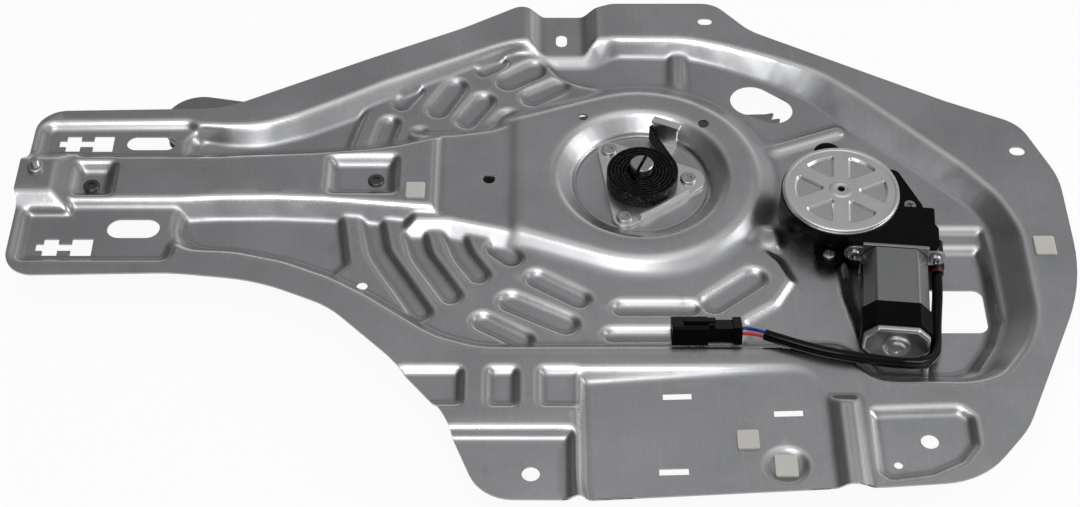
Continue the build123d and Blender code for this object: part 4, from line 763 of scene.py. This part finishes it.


# %% [markdown]
# Zinc-coated steel that has been through a press: the coating is a satin grey, folds that stand up get a
# painted highlight, valleys get painted shade, smudges of grease lie here and there, and long faint scratches
# run the way the blank slid.

# %% The sheet's finish
# Sizes and depths of the patterns are in metres.
ZINC_GRAIN, DRAWN_LINES, ZINC_CLOUD, GREASE_SIZE, SPECK_SIZE = 0.0011, 0.0022, 0.06, 0.016, 0.0021
SHEET_WAVE, SHEET_WAVE_DEPTH, ZINC_DEPTH = 0.016, 0.00010, 0.000012
DARK_ZINC, PALE_ZINC = (0.33, 0.335, 0.345), (0.62, 0.625, 0.64)
# The ridge colour is a painted highlight. The grease colour is used for real smudges and for painted shade in
# valleys.
RIDGE_HIGHLIGHT_ZINC, SCRATCHED_ZINC = (0.78, 0.78, 0.78), (0.66, 0.66, 0.66)
GREASE_AND_VALLEY_SHADE, SPECKS = (0.22, 0.22, 0.22), (0.13, 0.13, 0.13)


def pressed_zinc():
    """Satin zinc with a painted highlight on ridges, painted shade in valleys, smudges, specks and the
    scratches of the press.
    """
    finish = Finish(bpy.data.materials.new("galvanised_sheet"))
    fold_bend = finish.node("ShaderNodeAttribute", {"attribute_name": "fold"}, output="Fac")
    ridge = (fold_bend * -1.0).above(0.012, 0.06)
    valley = fold_bend.above(0.015, 0.07)
    fine = finish.noise(ZINC_GRAIN, (1.0, 5.0, 1.0), detail=3.0, rough=0.6)
    drawn = finish.noise(DRAWN_LINES, (1.0, 26.0, 1.0), detail=4.0, rough=0.65, turn=0.35)
    cloud = finish.noise(ZINC_CLOUD, detail=4.0, rough=0.55)
    smudge = finish.noise(GREASE_SIZE, (1.0, 1.8, 1.0), detail=6.0, rough=0.66, turn=1.1).above(0.60, 0.78)
    specks = finish.noise(SPECK_SIZE, detail=2.0).above(0.74, 0.80)
    scratches = drawn.above(0.66, 0.74)
    shade = cloud * 0.6 + fine * 0.25 + drawn * 0.15
    tint = finish.blend(shade, DARK_ZINC, PALE_ZINC)
    # Painted highlight: the ridges of the folds are lightened.
    tint = finish.blend(ridge * 0.55, tint, RIDGE_HIGHLIGHT_ZINC)
    # Painted shade: the valleys of the folds are darkened.
    tint = finish.blend(valley * 0.25, tint, GREASE_AND_VALLEY_SHADE)
    tint = finish.blend(smudge * 0.34, tint, GREASE_AND_VALLEY_SHADE)
    tint = finish.blend(specks * 0.7, tint, SPECKS)
    tint = finish.blend(scratches * 0.3, tint, SCRATCHED_ZINC)
    roughness = 0.34 + (cloud - 0.5) * 0.16 + (fine - 0.5) * 0.10 + smudge * 0.08 - ridge * 0.08
    wavy = finish.bump(finish.noise(SHEET_WAVE, detail=1.5), SHEET_WAVE_DEPTH)
    normal = finish.bump(fine * 0.6 + scratches * 0.4, ZINC_DEPTH, wavy)
    return finish.surface(base_color=tint, metallic=1.0, roughness=roughness, normal=normal)


galvanised_sheet = pressed_zinc()
sheet_data.materials.append(galvanised_sheet)
pressed_panel = added("pressed_panel", sheet_data)
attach(pressed_panel, "root")
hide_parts("panel")

# %% [markdown]
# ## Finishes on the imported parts
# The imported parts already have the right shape. Each takes the finish of its material slot, but for the
# dark rivets in the sunk squares and the cover with its own plate. Where a part's edges are crisp, a fine
# bevel catches the light as a real edge does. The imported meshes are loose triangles, so a Weld joins them
# before the Bevel, and both are modifiers: the mesh itself stays.

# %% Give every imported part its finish
finishes = {m.name: m for m in (
    rivet_steel, zinc_plate, screw_steel, shaft_steel, can_steel, arm_steel, case_plastic, connector_plastic,
    slider_plastic, wheel_plastic, clip_plastic, band_rubber, grommet_red, sleeve_black, lead_blue, lead_red,
    spring_steel, galvanised_sheet)}
slot_of = {part["node"]: part["material_slot"] for part in frame["record"]["subparts"]}
for name, node in nodes.items():
    node.data.materials.clear()
    node.data.materials.append(finishes[slot_of[name]])
nodes["rail_rivets"].data.materials[0] = dark_rivet
cover_zinc = cover_plate()
nodes["gear_cover"].data.materials[0] = cover_zinc

EDGE_WIDTHS = {
    "gear_cover": 0.65, "pivot_plate": 0.35, "motor_flange": 0.3, "gear_case": 0.5, "connector": 0.4,
    "plastic_clips": 0.25, "pivot_shaft": 0.25, "lift_arm": 0.4, "equaliser_lower": 0.3,
    "equaliser_upper": 0.3, "guide_rail": 0.2, "rail_slider": 0.4, "lift_slider": 0.4,
    "equaliser_slider": 0.4,
}
SAME_PLACE = 0.001 * MM
BEVEL_FROM = math.radians(32.0)


def ease_edges(node, width, segments):
    """Round the crisp edges of a node with modifiers, by that width in millimetres."""
    weld = node.modifiers.new("weld", "WELD")
    weld.merge_threshold = SAME_PLACE
    bevel = node.modifiers.new("edge", "BEVEL")
    bevel.width = width * MM
    bevel.segments = segments
    bevel.limit_method = "ANGLE"
    bevel.angle_limit = BEVEL_FROM
    bevel.harden_normals = True


for name, width in EDGE_WIDTHS.items():
    ease_edges(nodes[name], width, 3)
print("parts with eased edges", len(EDGE_WIDTHS))

# %% [markdown]
# ## The motor's shell
# The can is drawn from sheet: a rectangle with cut corners, soft along its edges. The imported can, band and
# end cap are plain prisms, so one section takes their place, extruded in steps. Each step goes on along
# the can and may draw in, which makes the cap's soft rim and its shallow seat.

# %% Places on the motor
PIVOT_PLACE = (62.0, 68.2)
GEAR_DISTANCE, GEAR_DIRECTION = 121.0, math.radians(-13.4)
MOTOR_TURN = math.radians(-5.2)
gear_x = PIVOT_PLACE[0] + GEAR_DISTANCE * math.cos(GEAR_DIRECTION)
gear_y = PIVOT_PLACE[1] + GEAR_DISTANCE * math.sin(GEAR_DIRECTION)
motor_frame = Matrix.Translation(at(gear_x, gear_y, 0.0)) @ Matrix.Rotation(MOTOR_TURN, 4, "Z")
CAN_OFFSET, CAN_LEVEL = 32.0, -2.0
CAN_WIDTH, CAN_HEIGHT, CAN_CORNER = 38.5, 26.0, 7.2


def down_the_can(distance, side=0.0, rise=0.0):
    """A frame on the motor's face whose Z points along the can, away from the gear case."""
    place = Vector((CAN_OFFSET + side, -distance, CAN_LEVEL + rise)) * MM
    return motor_frame @ Matrix.Translation(place) @ Matrix.Rotation(math.radians(90.0), 4, "X")


# %% Sections extruded in steps, and profiles spun round
def cut_section(wide, high, corner):
    """Points round a rectangle with cut corners, in millimetres."""
    x, y = wide / 2, high / 2
    return [(x, y - corner), (x - corner, y), (corner - x, y), (-x, y - corner),
            (-x, corner - y), (corner - x, -y), (x - corner, -y), (x, corner - y)]


def drawn_shell(wide, high, corner, steps, place):
    """A bmesh of the section, extruded by (advance, inset) steps along Z."""
    mesh = bmesh.new()
    corners = [mesh.verts.new((x * MM, y * MM, 0.0)) for x, y in cut_section(wide, high, corner)]
    face = mesh.faces.new(corners)
    half_wide, half_high = wide / 2, high / 2
    for advance, inset in steps:
        grown = bmesh.ops.extrude_face_region(mesh, geom=[face])["geom"]
        face = next(part for part in grown if isinstance(part, bmesh.types.BMFace))
        shrink = ((half_wide - inset) / half_wide, (half_high - inset) / half_high, 1.0)
        half_wide, half_high = half_wide - inset, half_high - inset
        bmesh.ops.scale(mesh, vec=shrink, verts=face.verts)
        bmesh.ops.translate(mesh, vec=(0.0, 0.0, advance * MM), verts=face.verts)
    bmesh.ops.recalc_face_normals(mesh, faces=mesh.faces)
    bmesh.ops.transform(mesh, matrix=place, verts=mesh.verts)
    return mesh


def turned(profile, place, segments=40):
    """A bmesh of a profile of (radius, height) points, in millimetres, spun round Z."""
    mesh = bmesh.new()
    line = [mesh.verts.new((radius * MM, 0.0, height * MM)) for radius, height in profile]
    edges = [mesh.edges.new(pair) for pair in zip(line, line[1:])]
    bmesh.ops.spin(mesh, geom=line + edges, cent=(0, 0, 0), axis=(0, 0, 1), angle=math.tau, steps=segments,
                   use_merge=True)
    bmesh.ops.remove_doubles(mesh, verts=mesh.verts, dist=SAME_PLACE)
    bmesh.ops.recalc_face_normals(mesh, faces=mesh.faces)
    bmesh.ops.transform(mesh, matrix=place, verts=mesh.verts)
    return mesh


# %% The can, its band and its end cap
CAN_FROM, CAN_TO = 42.0, 102.0
BAND_FROM, BAND_LONG, BAND_THICK = 84.5, 17.3, 0.5
LIP, SWELL = 0.3, 0.1
BAND_STEPS = [(LIP, -SWELL), (BAND_LONG - 2 * LIP, 0.0), (LIP, SWELL)]
CAP_LONG, CAP_SMALLER = 4.0, 0.8
CAN_STEPS = [(CAN_TO - CAN_FROM, 0.0)]
can = piece(drawn_shell(CAN_WIDTH, CAN_HEIGHT, CAN_CORNER, CAN_STEPS, down_the_can(CAN_FROM)),
            "drawn_can", "root", can_steel)
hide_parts("motor_can")
band = piece(drawn_shell(CAN_WIDTH + 2 * BAND_THICK, CAN_HEIGHT + 2 * BAND_THICK, CAN_CORNER,
                         BAND_STEPS, down_the_can(BAND_FROM)),
             "rubber_band", "root", band_rubber)
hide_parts("motor_band")
CAP_STEPS = [(2.4, 0.0), (0.7, 0.2), (0.5, 0.5), (0.25, 0.9), (0.0, 1.6), (-0.5, 0.6), (0.0, 1.0)]
cap = piece(drawn_shell(CAN_WIDTH - CAP_SMALLER, CAN_HEIGHT - CAP_SMALLER, CAN_CORNER, CAP_STEPS,
                        down_the_can(CAN_TO)), "end_cap", "root", cap_steel)
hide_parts("motor_end_cap")
BOSS_PROFILE = [(0.0, 2.9), (1.9, 2.9), (2.3, 3.9), (4.9, 4.0), (5.4, 3.6), (5.5, 2.3), (6.9, 2.1),
                (7.7, 1.7), (8.0, 0.9), (8.1, -1.2)]
piece(turned(BOSS_PROFILE, down_the_can(CAN_TO + CAP_LONG)), "bearing_boss", "root", cap_steel)

SHELL_EDGE, CAP_EDGE = 1.5, 0.9
for shell, width in ((can, SHELL_EDGE), (band, SHELL_EDGE), (cap, CAP_EDGE)):
    ease_edges(shell, width, 4)

# %% [markdown]
# The cover's hub and rim stand up a little from its spokes. Each is a ring: a small closed profile that is
# spun round the cover's middle.

# %% The raised hub and rim of the cover
cover_low, cover_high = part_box("gear_cover")
cover_middle = (cover_low + cover_high) / 2
cover_place = Matrix.Translation((cover_middle.x, cover_middle.y, cover_high.z))
HUB_PROFILE = [(3.3, -0.2), (3.5, 0.15), (4.2, 0.35), (6.2, 0.35), (7.2, 0.0), (7.2, -0.2), (3.3, -0.2)]
RIM_PROFILE = [(31.9, -0.3), (32.0, 0.0), (32.6, 0.28), (33.8, 0.28), (34.4, -0.05), (34.4, -0.3),
               (31.9, -0.3)]
RING_SEGMENTS = 96
for name, profile in (("cover_hub", HUB_PROFILE), ("cover_rim", RIM_PROFILE)):
    piece(turned(profile, cover_place, RING_SEGMENTS), name, "root", cover_zinc)

# %% [markdown]
# A round black piece, in the case's plastic, fills the hole above the cover, where the photograph shows a
# dark crescent behind the disc.

# %% The lobe in the panel's hole
LOBE_MIDDLE = (178.0, 90.5)
LOBE_PROFILE = [(0.0, -1.2), (8.3, -1.2), (8.3, 3.2), (7.7, 3.8), (0.0, 3.9)]
lobe_place = Matrix.Translation(at(*LOBE_MIDDLE, FLOOR_LEVEL))
piece(turned(LOBE_PROFILE, lobe_place), "round_black_piece", "root", case_plastic)

# %% [markdown]
# ## Screws
# The screws are pan heads with a cross recess. The top is a ring of triangles round a plus sign, whose
# edges are pushed down and drawn in for the recess, while the outer circle is pulled out to the dome.

# %% Cross-recessed screws
HEAD_RADIUS, HEAD_HEIGHT = 4.0, 2.2
SHANK_RADIUS = 2.4
HEAD_SEGMENTS, SHANK_SEGMENTS = 28, 20
RECESS_DEPTH, RECESS_REACH, RECESS_HALF = 1.2, 2.0, 0.5
RECESS_TURN, RECESS_TAPER = 25.0, 0.6
DOME = ((0.70, 1.0), (0.88, 0.86), (0.98, 0.52), (1.0, 0.0))


def loop_of(mesh, points):
    """The edges of a new closed loop through the points."""
    verts = [mesh.verts.new(point) for point in points]
    return [mesh.edges.new(pair) for pair in zip(verts, verts[1:] + verts[:1])]


def pulled(mesh, edges, scale, rise):
    """Extrude a loop of edges, scale the new one across Z and lift it."""
    grown = bmesh.ops.extrude_edge_only(mesh, edges=edges)["geom"]
    verts = [part for part in grown if isinstance(part, bmesh.types.BMVert)]
    bmesh.ops.scale(mesh, vec=(scale, scale, 1.0), verts=verts)
    bmesh.ops.translate(mesh, vec=(0.0, 0.0, rise * MM), verts=verts)
    return [part for part in grown if isinstance(part, bmesh.types.BMEdge) and len(part.link_faces) == 1]


def cross_screw(shank, place):
    """A bmesh of a screw whose head sits on the frame's face, with a shank of that length, in millimetres."""
    mesh = bmesh.new()
    top_radius = DOME[0][0] * HEAD_RADIUS * MM
    turns = [math.tau * i / HEAD_SEGMENTS for i in range(HEAD_SEGMENTS)]
    circle = [(top_radius * math.cos(a), top_radius * math.sin(a), HEAD_HEIGHT * MM) for a in turns]
    plus = []
    for quarter in range(4):
        turn = Matrix.Rotation(math.radians(90.0 * quarter + RECESS_TURN), 3, "Z")
        for x, y in ((RECESS_REACH, -RECESS_HALF), (RECESS_REACH, RECESS_HALF), (RECESS_HALF, RECESS_HALF)):
            plus.append(turn @ Vector((x, y, HEAD_HEIGHT)) * MM)
    outer, inner = loop_of(mesh, circle), loop_of(mesh, plus)
    bmesh.ops.triangle_fill(mesh, edges=outer + inner, use_beauty=True)
    bottom = pulled(mesh, inner, RECESS_TAPER, -RECESS_DEPTH)
    bmesh.ops.contextual_create(mesh, geom=bottom)
    for (near_share, near_height), (share, height) in zip(DOME, DOME[1:]):
        outer = pulled(mesh, outer, share / near_share, (height - near_height) * HEAD_HEIGHT)
    bmesh.ops.contextual_create(mesh, geom=outer)
    bmesh.ops.create_cone(mesh, cap_ends=True, segments=SHANK_SEGMENTS, radius1=SHANK_RADIUS * MM,
                          radius2=SHANK_RADIUS * MM, depth=shank * MM,
                          matrix=Matrix.Translation((0.0, 0.0, -shank / 2 * MM)))
    bmesh.ops.recalc_face_normals(mesh, faces=mesh.faces)
    bmesh.ops.transform(mesh, matrix=place, verts=mesh.verts)
    return mesh


# %% [markdown]
# Two screws go through the ears of the case, which stand at an angle and a reach from the cover's middle.
# Two more hold the can's flange, one at each side of the can.

# %% Put the screws in their places
EAR_TOP, EAR_SHANK = -3.0, 8.2
EARS = ((-98.27, 40.32), (5.51, 42.7))
FLANGE_SIDES, FLANGE_RISE, FLANGE_SHANK = (-23.6, 23.6), 4.5, 10.0
for i, (angle, reach) in enumerate(EARS):
    turn = math.radians(angle)
    spot = Vector((reach * math.cos(turn), reach * math.sin(turn), EAR_TOP)) * MM
    screw = piece(cross_screw(EAR_SHANK, motor_frame @ Matrix.Translation(spot)), f"case_screw_{i + 1}",
                  "root", screw_steel)
    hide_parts("case_screws")
for i, side in enumerate(FLANGE_SIDES):
    screw = piece(cross_screw(FLANGE_SHANK, down_the_can(CAN_FROM, side, FLANGE_RISE)), f"can_screw_{i + 1}",
                  "root", screw_steel)
    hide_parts("can_screws")
print("screws", len(EARS) + len(FLANGE_SIDES))

# %% [markdown]
# The stud at the left end is turned with a fine thread: its profile goes in and out by half a millimetre.

# %% The threaded stud
STUD_PLACE, STUD_SEAT = (-306.0, 65.0), 5.6
THREAD_TURNS, THREAD_PITCH, THREAD_START = 5, 0.9, 2.2
THREAD_ROOT, THREAD_CREST = 2.55, 3.0
thread = []
for i in range(THREAD_TURNS):
    low = THREAD_START + THREAD_PITCH * i
    thread += [(THREAD_ROOT, low), (THREAD_CREST, low + THREAD_PITCH / 2)]
foot = [(0.0, 0.0), (5.0, 0.0), (5.0, 1.7), (4.6, 2.0), (2.6, 2.0)]
tip = [(2.5, 6.8), (0.0, 7.0)]
stud = piece(turned(foot + thread + tip, Matrix.Translation(at(*STUD_PLACE, STUD_SEAT))), "threaded_stud",
             "root", rivet_steel)
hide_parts("end_stud")
print("points on the stud's profile", len(foot + thread + tip))

# %% [markdown]
# The sleeve is loose and limp. Here it is laid along its route as a round tube, in place of the imported
# sleeve.

# %% The cable
sleeve = tube("cable", [at(*p) for p in SLEEVE_ROUTE], SLEEVE_DIAMETER, "root", sleeve_black)
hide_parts("cable_sleeve")

# %% [markdown]
# Both boxes, of the imported model and of the visual one, are printed at the end. The visual model has to
# keep to the size of the imported one.

# %% Print the sizes
new_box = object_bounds()
for name, box in (("cad", cad_box), ("visual", new_box)):
    print(name, [round(v, 4) for corner in box for v in corner])
